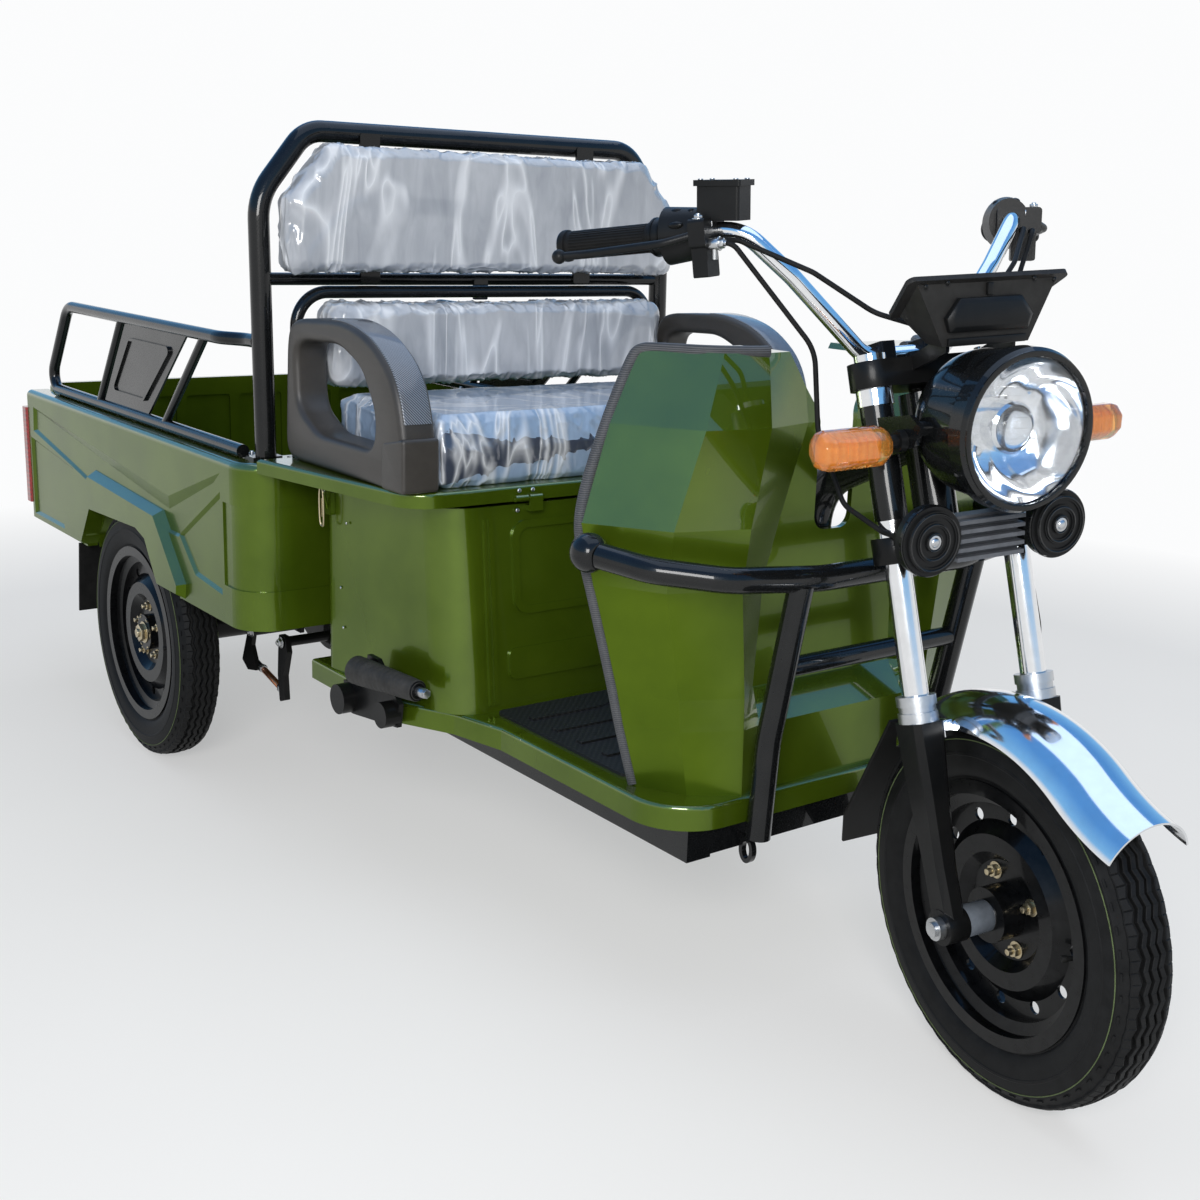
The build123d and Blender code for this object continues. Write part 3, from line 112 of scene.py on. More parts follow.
def visible_ray(tree):
    """1 along the rays of the camera, mirrors and glass, 0 along those that light a surface."""
    rays = tree.nodes.new("ShaderNodeLightPath").outputs
    camera, glossy, through = (Value(tree, rays[kind]) for kind in
                               ("Is Camera Ray", "Is Glossy Ray", "Is Transmission Ray"))
    return camera.at_least(glossy).at_least(through)


class Finish:
    """One material being built: a principled shader and helpers that add nodes to it."""

    def __init__(self, name, **constants):
        self.material = bpy.data.materials.new(name)
        self.material.use_nodes = True
        self.tree = self.material.node_tree
        self.shader = self.tree.nodes["Principled BSDF"]
        for socket, value in constants.items():
            self.shader.inputs[socket.replace("_", " ")].default_value = value
        spot = self.node("ShaderNodeTexCoord").outputs
        self.place, self.facing = spot["Object"], spot["Normal"]

    def node(self, kind, settings=None, **inputs):
        node = self.tree.nodes.new(kind)
        for name, value in (settings or {}).items():
            setattr(node, name, value)
        for name, value in inputs.items():
            self.feed(node.inputs[name.replace("_", " ")], value)
        return node

    def feed(self, slot, value):
        if isinstance(value, Value):
            value = value.socket
        if isinstance(value, bpy.types.NodeSocket):
            self.tree.links.new(value, slot)
        else:
            slot.default_value = value

    def axes(self, letters, vector=None):
        """The parts of the place on the surface, or of another vector, along the axes named."""
        split = self.node("ShaderNodeSeparateXYZ", Vector=vector or self.place)
        return [Value(self.tree, split.outputs[letter]) for letter in letters]

    def noise(self, scale, detail=3.0, rough=0.55, stretch=None, warp=0.0):
        place = self.place
        if stretch:
            scaled = self.node("ShaderNodeVectorMath", {"operation": "MULTIPLY"})
            self.tree.links.new(place, scaled.inputs[0])
            scaled.inputs[1].default_value = stretch
            place = scaled.outputs[0]
        made = self.node("ShaderNodeTexNoise", Vector=place, Scale=scale, Detail=detail,
                         Roughness=rough, Distortion=warp)
        return Value(self.tree, made.outputs["Fac"])

    def ramp(self, factor, *stops):
        """A colour, or a grey, that changes along factor."""
        node = self.node("ShaderNodeValToRGB", Fac=factor)
        while len(node.color_ramp.elements) < len(stops):
            node.color_ramp.elements.new(0.5)
        for element, (at, colour) in zip(node.color_ramp.elements, stops):
            element.position = at
            element.color = (*colour, 1)
        return node.outputs["Color"]

    def mix(self, factor, first, second):
        node = self.tree.nodes.new("ShaderNodeMix")
        node.data_type = "RGBA"
        self.feed(node.inputs[0], factor)
        for slot, value in ((node.inputs[6], first), (node.inputs[7], second)):
            self.feed(slot, (*value, 1) if isinstance(value, tuple) else value)
        return node.outputs[2]

    def bump(self, height, strength, distance=0.001):
        node = self.node("ShaderNodeBump", Height=height)
        node.inputs["Strength"].default_value = strength
        node.inputs["Distance"].default_value = distance
        self.tree.links.new(node.outputs[0], self.shader.inputs["Normal"])

    def set(self, **inputs):
        for name, value in inputs.items():
            self.feed(self.shader.inputs[name.replace("_", " ")], value)
        return self.material


def scaled(colour, *factors):
    """A colour times one factor, or channel by channel times three."""
    return tuple(c * f for c, f in zip(colour, factors if len(factors) == 3 else factors * 3))


# ---------------------------------------------------------------- finishes
def green_enamel():
    """Candy paint: a coloured metallic ground under a clear coat, fullest where a face looks up."""
    f = Finish("green_enamel", Coat_Roughness=0.012, Coat_IOR=1.85, Specular_IOR_Level=0.15)
    cloud = f.noise(9.0, 4.0)
    ripple = f.noise(22.0, 1.0, 0.4)
    speck = f.noise(900.0, 1.0)
    f.bump(ripple + speck * 0.01, 0.12, 0.0014)
    (lift,) = f.axes("Z", f.facing)
    return f.set(Base_Color=f.ramp(cloud, (0.3, (0.064, 0.108, 0.005)), (0.7, (0.088, 0.142, 0.007))),
                 Metallic=cloud * 0.1 + 0.5, Roughness=cloud * 0.1 + 0.2,
                 Coat_Weight=(lift * 2.0 + cloud * 0.1 + 0.12).clamp())


def black_enamel():
    f = Finish("black_enamel", Coat_Roughness=0.03, Coat_IOR=1.4, Specular_IOR_Level=0.12)
    cloud = f.noise(14.0, 4.0)
    dust = f.noise(240.0, 2.0)
    f.bump(f.noise(40.0, 1.0), 0.06, 0.001)
    return f.set(Base_Color=f.ramp(cloud, (0.3, (0.0035, 0.004, 0.0045)), (0.75, (0.007, 0.0075, 0.008))),
                 Roughness=dust * 0.12 + 0.2, Coat_Weight=cloud * 0.2 + 0.55)


def pressed_black():
    """Stove enamel on heavy brackets: duller, with dust in it."""
    f = Finish("satin_black_enamel", Coat_Roughness=0.2, Specular_IOR_Level=0.1)
    cloud = f.noise(11.0, 5.0)
    dust = f.noise(320.0, 2.0)
    f.bump(dust, 0.12, 0.0004)
    return f.set(Base_Color=f.ramp(cloud, (0.3, (0.003, 0.0033, 0.0036)), (0.8, (0.008, 0.0078, 0.0076))),
                 Roughness=dust * 0.2 + 0.3, Coat_Weight=cloud * 0.2 + 0.05)


def wheel_black():
    f = Finish("wheel_black_enamel", Coat_Roughness=0.06, Coat_IOR=1.4, Specular_IOR_Level=0.12)
    dust = f.noise(90.0, 5.0)
    f.bump(dust, 0.1, 0.0005)
    return f.set(Base_Color=f.ramp(dust, (0.35, (0.002, 0.0022, 0.0025)), (0.8, (0.005, 0.0053, 0.006))),
                 Roughness=dust * 0.2 + 0.2, Coat_Weight=dust * 0.2 + 0.15)


def moulded_black():
    f = Finish("moulded_black_plastic", Specular_IOR_Level=0.16)
    grain = f.noise(1500.0, 2.0)
    cloud = f.noise(17.0, 4.0)
    f.bump(grain, 0.25, 0.0003)
    return f.set(Base_Color=f.ramp(cloud, (0.3, (0.006, 0.0065, 0.007)), (0.8, (0.012, 0.0125, 0.013))),
                 Roughness=grain * 0.16 + 0.3)


def moulded_grey():
    """The brown-grey grained plastic of the armrests."""
    f = Finish("moulded_grey_plastic", Specular_IOR_Level=0.4)
    grain = f.noise(1100.0, 3.0)
    cloud = f.noise(12.0, 4.0)
    scuff = f.noise(90.0, 4.0, 0.6, stretch=(0.25, 1.0, 1.0))
    f.bump(grain + scuff * 0.3, 0.4, 0.0004)
    worn = cloud * 0.7 + scuff * 0.3
    return f.set(Base_Color=f.ramp(worn, (0.3, (0.030, 0.027, 0.024)), (0.75, (0.052, 0.047, 0.042))),
                 Roughness=grain * 0.14 + 0.34)


def carbon_weave():
    """Printed twill under a clear skin: tows that cross over and under each other."""
    f = Finish("carbon_weave", Coat_Roughness=0.08, Specular_IOR_Level=0.4)
    x, y, z = f.axes("XYZ")
    along = (z - x) * 170.0
    twill = (along + y * 240.0).fraction()
    tow = twill.above(0.5)
    crown = ((twill * 2.0).fraction() - 0.5).absolute() * 2.0
    strand = (along * 6.0).wave()
    f.bump(crown + strand * 0.2, 0.4, 0.0004)
    return f.set(Base_Color=f.mix(tow, (0.03, 0.032, 0.038), (0.19, 0.205, 0.235)),
                 Roughness=tow * 0.12 + 0.28, Coat_Weight=strand * 0.1 + 0.7)


def rubber(name, low=0.006, high=0.014, shine=0.6, tint=(1.0, 0.99, 0.97)):
    f = Finish(name, Specular_IOR_Level=0.14)
    dust = f.noise(46.0, 6.0, 0.65)
    grain = f.noise(1300.0, 2.0)
    f.bump(grain + dust * 0.6, 0.25, 0.0004)
    return f.set(Base_Color=f.ramp(dust, (0.35, scaled(tint, low)), (0.8, scaled(tint, high))),
                 Roughness=dust * 0.2 + shine - 0.1)


def mat_rubber():
    """Rubber with raised diamonds."""
    f = Finish("mat_rubber", Specular_IOR_Level=0.3)
    x, y = f.axes("XY")
    across, along = (x + y) * 90.0, (x - y) * 90.0
    raised = ((across.fraction() - 0.5).absolute() + (along.fraction() - 0.5).absolute()).above(0.62)
    dust = f.noise(60.0, 5.0)
    f.bump(raised + dust * 0.15, 0.6, 0.0008)
    return f.set(Base_Color=f.mix(raised, (0.007, 0.0072, 0.0076), (0.018, 0.0182, 0.0188)),
                 Roughness=dust * 0.2 + 0.44)


def ribbed_rubber():
    """Edge trim moulded with close cross ribs."""
    f = Finish("ribbed_trim", Specular_IOR_Level=0.3)
    (z,) = f.axes("Z")
    rib = (z * 2300.0).wave()
    dust = f.noise(60.0, 4.0)
    f.bump(rib, 0.6, 0.0008)
    # Lighter along each rib's crest, and in random patches of dust.
    crest_and_dust_tone = rib * 0.6 + dust * 0.4
    return f.set(Base_Color=f.ramp(crest_and_dust_tone, (0.2, (0.035, 0.037, 0.042)), (0.8, (0.10, 0.103, 0.11))),
                 Roughness=dust * 0.2 + 0.42)


def chrome_plate():
    f = Finish("chrome_plate")
    haze = f.noise(60.0, 4.0)
    f.bump(f.noise(70.0, 1.0), 0.03, 0.0006)
    tint = (0.78, 0.79, 0.8)
    return f.set(Base_Color=f.ramp(haze, (0.3, scaled(tint, 0.92)), (0.8, tint)),
                 Metallic=haze * 0.02 + 0.98, Roughness=haze * 0.08 + 0.07)


def faceted_reflector():
    """Bright metal pressed in upright flutes, so it flashes light and dark."""
    f = Finish("lamp_reflector")
    y, z = f.axes("YZ")
    flutes = (y * 190.0).wave()
    steps = (z * 95.0).fraction()
    haze = f.noise(60.0, 3.0)
    f.bump(flutes + steps * 0.6, 0.5, 0.002)
    return f.set(Base_Color=f.ramp(haze, (0.3, (0.78, 0.79, 0.8)), (0.8, (0.92, 0.92, 0.93))),
                 Metallic=haze * 0.02 + 0.98, Roughness=haze * 0.06 + 0.06)


def zinc_plate(name, tint):
    f = Finish(name)
    haze = f.noise(150.0, 5.0)
    patch = f.noise(35.0, 3.0)
    f.bump(haze, 0.15, 0.0003)
    return f.set(Base_Color=f.ramp(patch, (0.3, scaled(tint, 0.72)), (0.75, tint)),
                 Metallic=haze * 0.05 + 0.93, Roughness=haze * 0.22 + 0.2)


def copper():
    f = Finish("copper_plate")
    haze = f.noise(160.0, 5.0)
    f.bump(haze, 0.15, 0.0003)
    return f.set(Base_Color=f.ramp(haze, (0.3, (0.42, 0.15, 0.07)), (0.8, (0.66, 0.27, 0.13))),
                 Metallic=haze * 0.05 + 0.93, Roughness=haze * 0.2 + 0.22)


def cast_aluminium():
    f = Finish("cast_aluminium")
    grain = f.noise(420.0, 4.0)
    cloud = f.noise(24.0, 3.0)
    f.bump(grain, 0.3, 0.0005)
    return f.set(Base_Color=f.ramp(cloud, (0.3, (0.42, 0.43, 0.44)), (0.8, (0.6, 0.61, 0.62))),
                 Metallic=cloud * 0.06 + 0.9, Roughness=grain * 0.2 + 0.24)


def lamp_red():
    """Red moulding with a grid of small prisms."""
    f = Finish("lamp_red", IOR=1.49, Coat_Roughness=0.03)
    y, z = f.axes("YZ")
    facets = ((y * 620.0).sin() * (z * 620.0).sin()) * 0.5 + 0.5
    cloud = f.noise(30.0, 2.0)
    f.bump(facets, 0.3, 0.0006)
    depth = facets * 0.5 + cloud * 0.5
    return f.set(Base_Color=f.ramp(depth, (0.2, (0.20, 0.004, 0.005)), (0.8, (0.42, 0.012, 0.011))),
                 Roughness=cloud * 0.08 + 0.1, Coat_Weight=cloud * 0.1 + 0.35)


def amber_lens():
    f = Finish("amber_lens", IOR=1.45, Coat_Roughness=0.02, Transmission_Weight=0.8)
    (y,) = f.axes("Y")
    prisms = (y * 700.0).wave()
    cloud = f.noise(40.0, 2.0)
    f.bump(prisms, 0.15, 0.0004)
    depth = prisms * 0.6 + cloud * 0.4
    return f.set(Base_Color=f.ramp(depth, (0.2, (0.95, 0.42, 0.08)), (0.8, (1.0, 0.52, 0.13))),
                 Roughness=cloud * 0.08 + 0.04, Coat_Weight=cloud * 0.1 + 0.6)


def amber_cell():
    """The bright moulding inside an indicator, with a faint painted glow."""
    # The emission is a painted glow: the cell is not lit.
    f = Finish("amber_cell", Emission_Strength=0.06)
    cloud = f.noise(90.0, 3.0)
    colour = f.ramp(cloud, (0.3, (0.74, 0.30, 0.004)), (0.7, (0.88, 0.40, 0.008)))
    f.bump(cloud, 0.2, 0.0006)
    return f.set(Base_Color=colour, Emission_Color=colour, Roughness=cloud * 0.1 + 0.25)


def clear_cover():
    f = Finish("clear_cover", IOR=1.47, Transmission_Weight=1.0)
    haze = f.noise(25.0, 3.0)
    f.bump(f.noise(60.0, 1.0), 0.05, 0.0005)
    return f.set(Base_Color=f.ramp(haze, (0.3, (0.93, 0.95, 0.97)), (0.8, (1.0, 1.0, 1.0))),
                 Roughness=haze * 0.02 + 0.01)


def wrapped_vinyl(name, front=None, hue=(1.0, 1.0, 1.0)):
    """Pale vinyl seen through a tight, wrinkled film, with painted highlights on its fold crests and
    partly painted light and shade on its fine wrinkles; darker past the place called front.
    """
    dark, middle, pale = (scaled(grey, *hue) for grey in
                          ((0.27, 0.295, 0.34), (0.37, 0.395, 0.44), (0.48, 0.505, 0.55)))
    f = Finish(name, Coat_Roughness=0.04, Coat_IOR=1.55, Specular_IOR_Level=0.4)
    pulled = f.noise(11.0, 2.0, 0.5, stretch=(1.0, 1.0, 0.2), warp=1.0)
    fine = f.noise(40.0, 3.0, 0.55, stretch=(1.0, 1.0, 0.3), warp=0.6)
    cloud = f.noise(7.0, 3.0)
    fold = (1.0 - (pulled - 0.5).absolute() * 14.0).clamp().power(2.0)
    f.bump(fold * 0.8 + fine * 0.3, 0.5, 0.004)
    # Random cloudy tone, half of it following the fine wrinkles of the bump: partly painted light and
    # shade on the wrinkles.
    plain = f.ramp(cloud * 0.5 + fine * 0.5, (0.3, dark), (0.5, middle), (0.7, pale))
    if front is not None:
        (x,) = f.axes("X")
        plain = f.mix(x.above(front), plain, (0.045, 0.055, 0.085))
    # The fold crests are painted near white: painted highlights of the film.
    return f.set(Base_Color=f.mix(fold * 0.65, plain, (0.84, 0.87, 0.92)),
                 Roughness=fine * 0.2 + 0.22, Coat_Weight=cloud * 0.2 + 0.85)


GREEN = green_enamel()
BLACK = black_enamel()
SATIN = pressed_black()
WHEEL = wheel_black()
PLASTIC = moulded_black()
DASH = rubber("dash_plastic", 0.018, 0.030, 0.42)
GREY = moulded_grey()
CARBON = carbon_weave()
RUBBER = rubber("black_rubber")
TYRE = rubber("tyre_rubber", 0.005, 0.013, 0.6, (1.0, 1.02, 1.05))
MOULD_LINE = rubber("mould_line", 0.10, 0.17, 0.6, (0.75, 1.0, 0.45))
PEG_RUBBER = rubber("grey_rubber", 0.03, 0.06, 0.6)
GRIP = rubber("grip_rubber", 0.007, 0.014, 0.5)
FINS = rubber("fin_grey", 0.10, 0.15, 0.45, (0.9, 0.97, 1.1))
SLATE = rubber("slate_bush", 0.10, 0.17, 0.42, (0.85, 0.97, 1.15))
MAT = mat_rubber()
TRIM = ribbed_rubber()
CHROME = chrome_plate()
BRIGHT = faceted_reflector()
ZINC = zinc_plate("zinc_plate", (0.55, 0.56, 0.57))
YELLOW_ZINC = zinc_plate("yellow_zinc_plate", (0.616, 0.524, 0.348))
COPPER = copper()
ALUMINIUM = cast_aluminium()
RED = lamp_red()
AMBER = amber_lens()
AMBER_CELL = amber_cell()
CLEAR = clear_cover()
VINYL = wrapped_vinyl("wrapped_vinyl")
FRONT_BAND = 0.016  # how much of the seat cushion is its dark front
SEAT_VINYL = wrapped_vinyl("wrapped_seat_vinyl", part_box("seat_cushion")[1][0] - FRONT_BAND,
                           (0.66, 0.86, 1.12))

FINISHES = {
    "chassis_frame": BLACK, "cargo_bed": GREEN, "side_rail_right": BLACK, "side_rail_left": BLACK,
    "tail_lamps": RED, "rear_mudflaps": RUBBER, "rear_axle": SATIN, "leaf_springs": SATIN,
    "seat_bucket": GREEN, "floorboard": GREEN, "floor_mat": MAT, "leg_shield": GREEN,
    "front_bumper": BLACK, "foot_pegs": SATIN, "brake_linkage": SATIN, "backrest_hoop": BLACK,
    "upper_back_pad": VINYL, "lower_back_frame": BLACK, "lower_back_pad": VINYL,
    "tailgate": GREEN, "seat_lid": GREEN, "seat_cushion": VINYL, "armrest_right": GREY,
    "armrest_left": GREY, "fork_yokes": SATIN, "fork_stanchions": CHROME, "fork_sleeves": BLACK,
    "fork_collars": ALUMINIUM, "fork_legs": SATIN, "front_axle": ZINC, "front_fender": CHROME,
    "front_mudflap": RUBBER, "handlebar": CHROME, "grips": RUBBER, "hand_controls": PLASTIC,
    "headlamp_shell": BLACK, "headlamp_reflector": BRIGHT, "headlamp_lens": CLEAR,
    "indicator_stems": PLASTIC, "indicator_lenses": AMBER, "horns": PLASTIC,
    "finned_cover": FINS, "dash_housing": DASH, "brake_hose": RUBBER,
    "control_hoses": RUBBER, "front_tyre": TYRE, "front_rim": WHEEL,
    "rear_right_tyre": TYRE, "rear_right_rim": WHEEL, "rear_left_tyre": TYRE,
    "rear_left_rim": WHEEL,
}
for name, node in frame["nodes"].items():
    node.data.materials.clear()
    node.data.materials.append(FINISHES[name])


# ---------------------------------------------------------------- homes
UP = Vector((0, 0, 1))
AHEAD = Vector((1, 0, 0))
HANDS = (-1, 1)
UPRIGHT = Matrix.Rotation(math.pi / 2, 4, "X")


def joint(name):
    return next(found for found in frame["joints"] if found["name"] == name)


def turned_home():
    """Where the upright coordinates of the steered parts stand, parked a little to the right."""
    steer = joint("steering_turn")
    axis = Vector(steer["axis"]).normalized()
    straight = Vector((0, 1, 0))
    parked = Vector(joint("front_wheel_spin")["axis"])
    angle = math.atan2(axis.dot(straight.cross(parked)), straight.dot(parked))
    pivot = Matrix.Translation(Vector(steer["pos_m"]))
    return pivot @ Matrix.Rotation(angle, 4, axis) @ pivot.inverted()


# Both homes count x from the rear axle, as the sizes below do
FROM_AXLE = Matrix.Translation((joint("rear_wheel_right_spin")["pos_m"][0], 0, 0))
STEERED = turned_home() @ FROM_AXLE


def aimed(start, way):
    """A place at start with its own z along way."""
    return Matrix.Translation(start) @ Vector(way).to_track_quat("Z", "Y").to_matrix().to_4x4()


def spanning(start, end):
    """A place at start with its own z towards end."""
    return aimed(start, Vector(end) - Vector(start))


def box_home(centre, size):
    return Matrix.Translation(centre) @ Matrix.Diagonal((*size, 1))


# ---------------------------------------------------------------- small shapes
def bevelled(part, edges, width, segments=1):
    bmesh.ops.bevel(part, geom=edges, offset=width, segments=segments, profile=0.5,
                    affect="EDGES", material=-1)
    return part


def softened(part, width, segments=2, limit=0.5):
    """The shape with every edge that turns by more than the limit bevelled."""
    sharp = [e for e in part.edges if len(e.link_faces) == 2 and e.calc_face_angle(0) > limit]
    return bevelled(part, sharp, width, segments)


def rod(length, radius, top=None, sides=20, soft=0.0):
    """A round bar that stands on the origin along z."""
    part = bmesh.new()
    bmesh.ops.create_cone(part, cap_ends=True, segments=sides, radius1=radius,
                          radius2=radius if top is None else top, depth=length,
                          matrix=Matrix.Translation((0, 0, length / 2)))
    return softened(part, soft, 2, 1.0) if soft else part


def hexagon(across, height, soft=0.0006):
    return rod(height, across / math.sqrt(3), sides=6, soft=soft)


def brick(centre, size, soft=0.0, segments=2):
    part = bmesh.new()
    bmesh.ops.create_cube(part, size=1.0, matrix=box_home(centre, size))
    return softened(part, soft, segments) if soft else part


def ball(centre, radii, rings=10, sides=16):
    part = bmesh.new()
    bmesh.ops.create_uvsphere(part, u_segments=sides, v_segments=rings, radius=1.0,
                              matrix=box_home(centre, radii))
    return part


def lathed(profile, steps=48):
    """A profile of radius and height, spun round z."""
    part = bmesh.new()
    corners = [part.verts.new((r, 0, h)) for r, h in profile]
    line = [part.edges.new(pair) for pair in zip(corners, corners[1:])]
    bmesh.ops.spin(part, geom=corners + line, cent=(0, 0, 0), axis=(0, 0, 1), dvec=(0, 0, 0),
                   angle=math.tau, steps=steps, use_merge=True)
    bmesh.ops.remove_doubles(part, verts=part.verts, dist=1e-6)
    return part


def hoop(radius, height, thick, steps):
    """A thin round ring about z."""
    turns = [k * math.tau / 8 for k in range(9)]
    return lathed([(radius + thick * math.cos(a), height + thick * math.sin(a)) for a in turns], steps)


def ringed(part, count):
    """Copies of a shape all the way round z."""
    everything = part.verts[:] + part.edges[:] + part.faces[:]
    bmesh.ops.spin(part, geom=everything, cent=(0, 0, 0), axis=(0, 0, 1), dvec=(0, 0, 0),
                   angle=math.tau * (count - 1) / count, steps=count - 1, use_duplicate=True)
    return part


def trace(curve, kind, points):
    """A new line of the curve through the points."""
    spline = curve.splines.new(kind)
    spline.points.add(len(points) - 1)
    for knot, place in zip(spline.points, points):
        knot.co = (*place, 1)
    return spline


def meshed(curve):
    """The shape that a curve makes, with the curve itself cleared away."""
    holder = bpy.data.objects.new("run", curve)
    mesh = bpy.data.meshes.new_from_object(holder)
    part = bmesh.new()
    part.from_mesh(mesh)
    bmesh.ops.remove_doubles(part, verts=part.verts, dist=1e-6)
    bpy.data.objects.remove(holder)
    bpy.data.curves.remove(curve)
    bpy.data.meshes.remove(mesh)
    return part


def from_curve(points, depth, extrude=0.0, closed=False, smooth=True, flat=False, rings=3):
    """A round bar along the points, or where flat a band that stands on them."""
    curve = bpy.data.curves.new("run", "CURVE")
    curve.dimensions = "2D" if flat else "3D"
    curve.fill_mode = "NONE" if flat else "FULL"
    curve.bevel_depth = depth
    curve.bevel_resolution = rings
    curve.extrude = extrude
    curve.use_fill_caps = not flat
    spline = trace(curve, "NURBS" if smooth else "POLY", points)
    if smooth:
        spline.order_u = 3
        spline.use_endpoint_u = not closed
        spline.resolution_u = 8
    spline.use_cyclic_u = closed
    return meshed(curve)


def moulding(outlines, half, soft):
    """A flat piece with openings and rounded edges, cut to outlines in x and z, y through it."""
    curve = bpy.data.curves.new("run", "CURVE")
    curve.dimensions = "2D"
    curve.fill_mode = "BOTH"
    curve.extrude = half - soft
    curve.bevel_depth = soft
    curve.bevel_resolution = 3
    curve.offset = -soft
    for outline in outlines:
        trace(curve, "POLY", [place.to_3d() for place in outline]).use_cyclic_u = True
    part = meshed(curve)
    bmesh.ops.transform(part, matrix=UPRIGHT, verts=part.verts)
    return part


def rounded(points, reach):
    """A closed outline with each corner turned into a small curve."""
    run = []
    for last, corner, following in zip(points[-1:] + points[:-1], points, points[1:] + points[:1]):
        corner = Vector(corner)
        before, after = (corner + way.normalized() * min(reach, way.length * 0.45)
                         for way in (Vector(last) - corner, Vector(following) - corner))
        for k in range(7):
            t = k / 6
            run.append(before * (1 - t) ** 2 + corner * 2 * t * (1 - t) + after * t * t)
    return run


class Form:
    """One piece of the scene, gathered from small shapes placed in a home."""

    def __init__(self, home=None):
        self.home = home or Matrix()
        self.mesh = bmesh.new()

    def add(self, part, place=None):
        bmesh.ops.transform(part, matrix=self.home @ (place or Matrix()), verts=part.verts)
        bmesh.ops.recalc_face_normals(part, faces=part.faces)
        shape = bpy.data.meshes.new("shape")
        part.to_mesh(shape)
        part.free()
        self.mesh.from_mesh(shape)
        bpy.data.meshes.remove(shape)

    def bolt(self, base, way, across=0.010, height=0.005, stud=0.0):
        """A bolt head or nut on its washer, with the stud's end out of it where there is one."""
        place = aimed(base, way)
        self.add(rod(0.0012, across * 0.78, soft=0.0003), place)
        self.add(hexagon(across, height), place)
        if stud:
            self.add(rod(height + stud, across * 0.3, soft=0.0006, sides=12), place)

    def finish(self, name, body, material, replaced=(), crease=0.7):
        shape = bpy.data.meshes.new(name)
        self.mesh.to_mesh(shape)
        self.mesh.free()
        shape.shade_smooth()
        shape.set_sharp_from_angle(angle=crease)
        made = bpy.data.objects.new(name, shape)
        bpy.context.collection.objects.link(made)
        shape.materials.append(material)
        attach(made, body)
        if replaced:
            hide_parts(*replaced)


# ---------------------------------------------------------------- cushions
SINK = 0.006  # how far the cover starts inside the plain pad
ROOM = 0.003  # how far a fold may stand outside it
LAST_STEP = 20  # of the cloth
noise.seed_set(7)  # without it the folds would fall elsewhere in every run


def voxel_copy(name, node, voxel):
    """The plain pad remade with small even faces."""
    form = bmesh.new()
    form.from_mesh(frame["nodes"][node].data)
    bmesh.ops.remove_doubles(form, verts=form.verts, dist=0.0002)
    holder = bpy.data.objects.new(name, bpy.data.meshes.new(name))
    form.to_mesh(holder.data)
    form.free()
    bpy.context.collection.objects.link(holder)
    grid = holder.modifiers.new("grid", "REMESH")
    grid.mode = "VOXEL"
    grid.voxel_size = voxel
    return holder


def baked(holder):
    """The holder's mesh with its modifiers applied, and the modifiers gone."""
    bpy.context.view_layer.update()
    seen = holder.evaluated_get(bpy.context.evaluated_depsgraph_get())
    shape = bpy.data.meshes.new_from_object(seen)
    holder.modifiers.clear()
    holder.data = shape
    return shape


def inflated(holder, cap, shares):
    """A short run of cloth under pressure; no point moves past the cap, and less along the cover."""
    start = [v.co.copy() for v in holder.data.vertices]
    cloth = holder.modifiers.new("cloth", "CLOTH")
    cloth.settings.use_pressure = True
    cloth.settings.uniform_pressure_force = 4.0
    cloth.settings.effector_weights.gravity = 0.0
    scene = bpy.context.scene
    for step in range(1, LAST_STEP + 1):
        scene.frame_set(step)
    seen = holder.evaluated_get(bpy.context.evaluated_depsgraph_get())
    moved = [v.co.copy() for v in seen.data.vertices]
    holder.modifiers.clear()
    scene.frame_set(1)
    for v, first, last in zip(holder.data.vertices, start, moved):
        move = Vector(share * way for share, way in zip(shares, last - first))
        v.co = first + move * min(1.0, cap / max(move.length, 1e-6))


def crest(place, scale, keen):
    """A thin ridge where the noise crosses its middle value."""
    warp = noise.noise_vector(place * 2.0) * 0.35
    return max(0.0, 1.0 - abs(noise.noise((place + warp) * scale)) * keen) ** 2


def cushion(name, node, body, material, voxel, cap, shares, pulls, floor=None):
    """A padded piece in place of a plain pad, blown up and then wrinkled by pulls of its film."""
    holder = voxel_copy(name, node, voxel)
    shape = baked(holder)
    for v, away in [(v, v.normal.copy()) for v in shape.vertices]:
        v.co -= Vector(share * way for share, way in zip(shares, away)) * SINK
    inflated(holder, cap, shares)
    finer = holder.modifiers.new("finer", "SUBSURF")
    finer.levels = finer.render_levels = 1
    shape = baked(holder)
    low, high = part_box(node)
    height, stretch, depth = pulls
    for v, away in [(v, v.normal.copy()) for v in shape.vertices]:
        place = Vector(c * share for c, share in zip(v.co, stretch))
        long = crest(place, 1.0, 7.0) + crest(place * 1.9 + Vector((3, 1, 2)), 1.0, 6.0) * 0.6
        slack = noise.fractal(v.co * 14.0, 1.0, 2.0, 3) * depth
        v.co += away * (height * long + slack)
        v.co = Vector(min(max(c, a - ROOM), b + ROOM) for c, a, b in zip(v.co, low, high))
        if floor is not None:
            v.co.z = max(v.co.z, floor)
    shape.shade_smooth()
    shape.materials.clear()
    shape.materials.append(material)
    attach(holder, body)
    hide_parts(node)


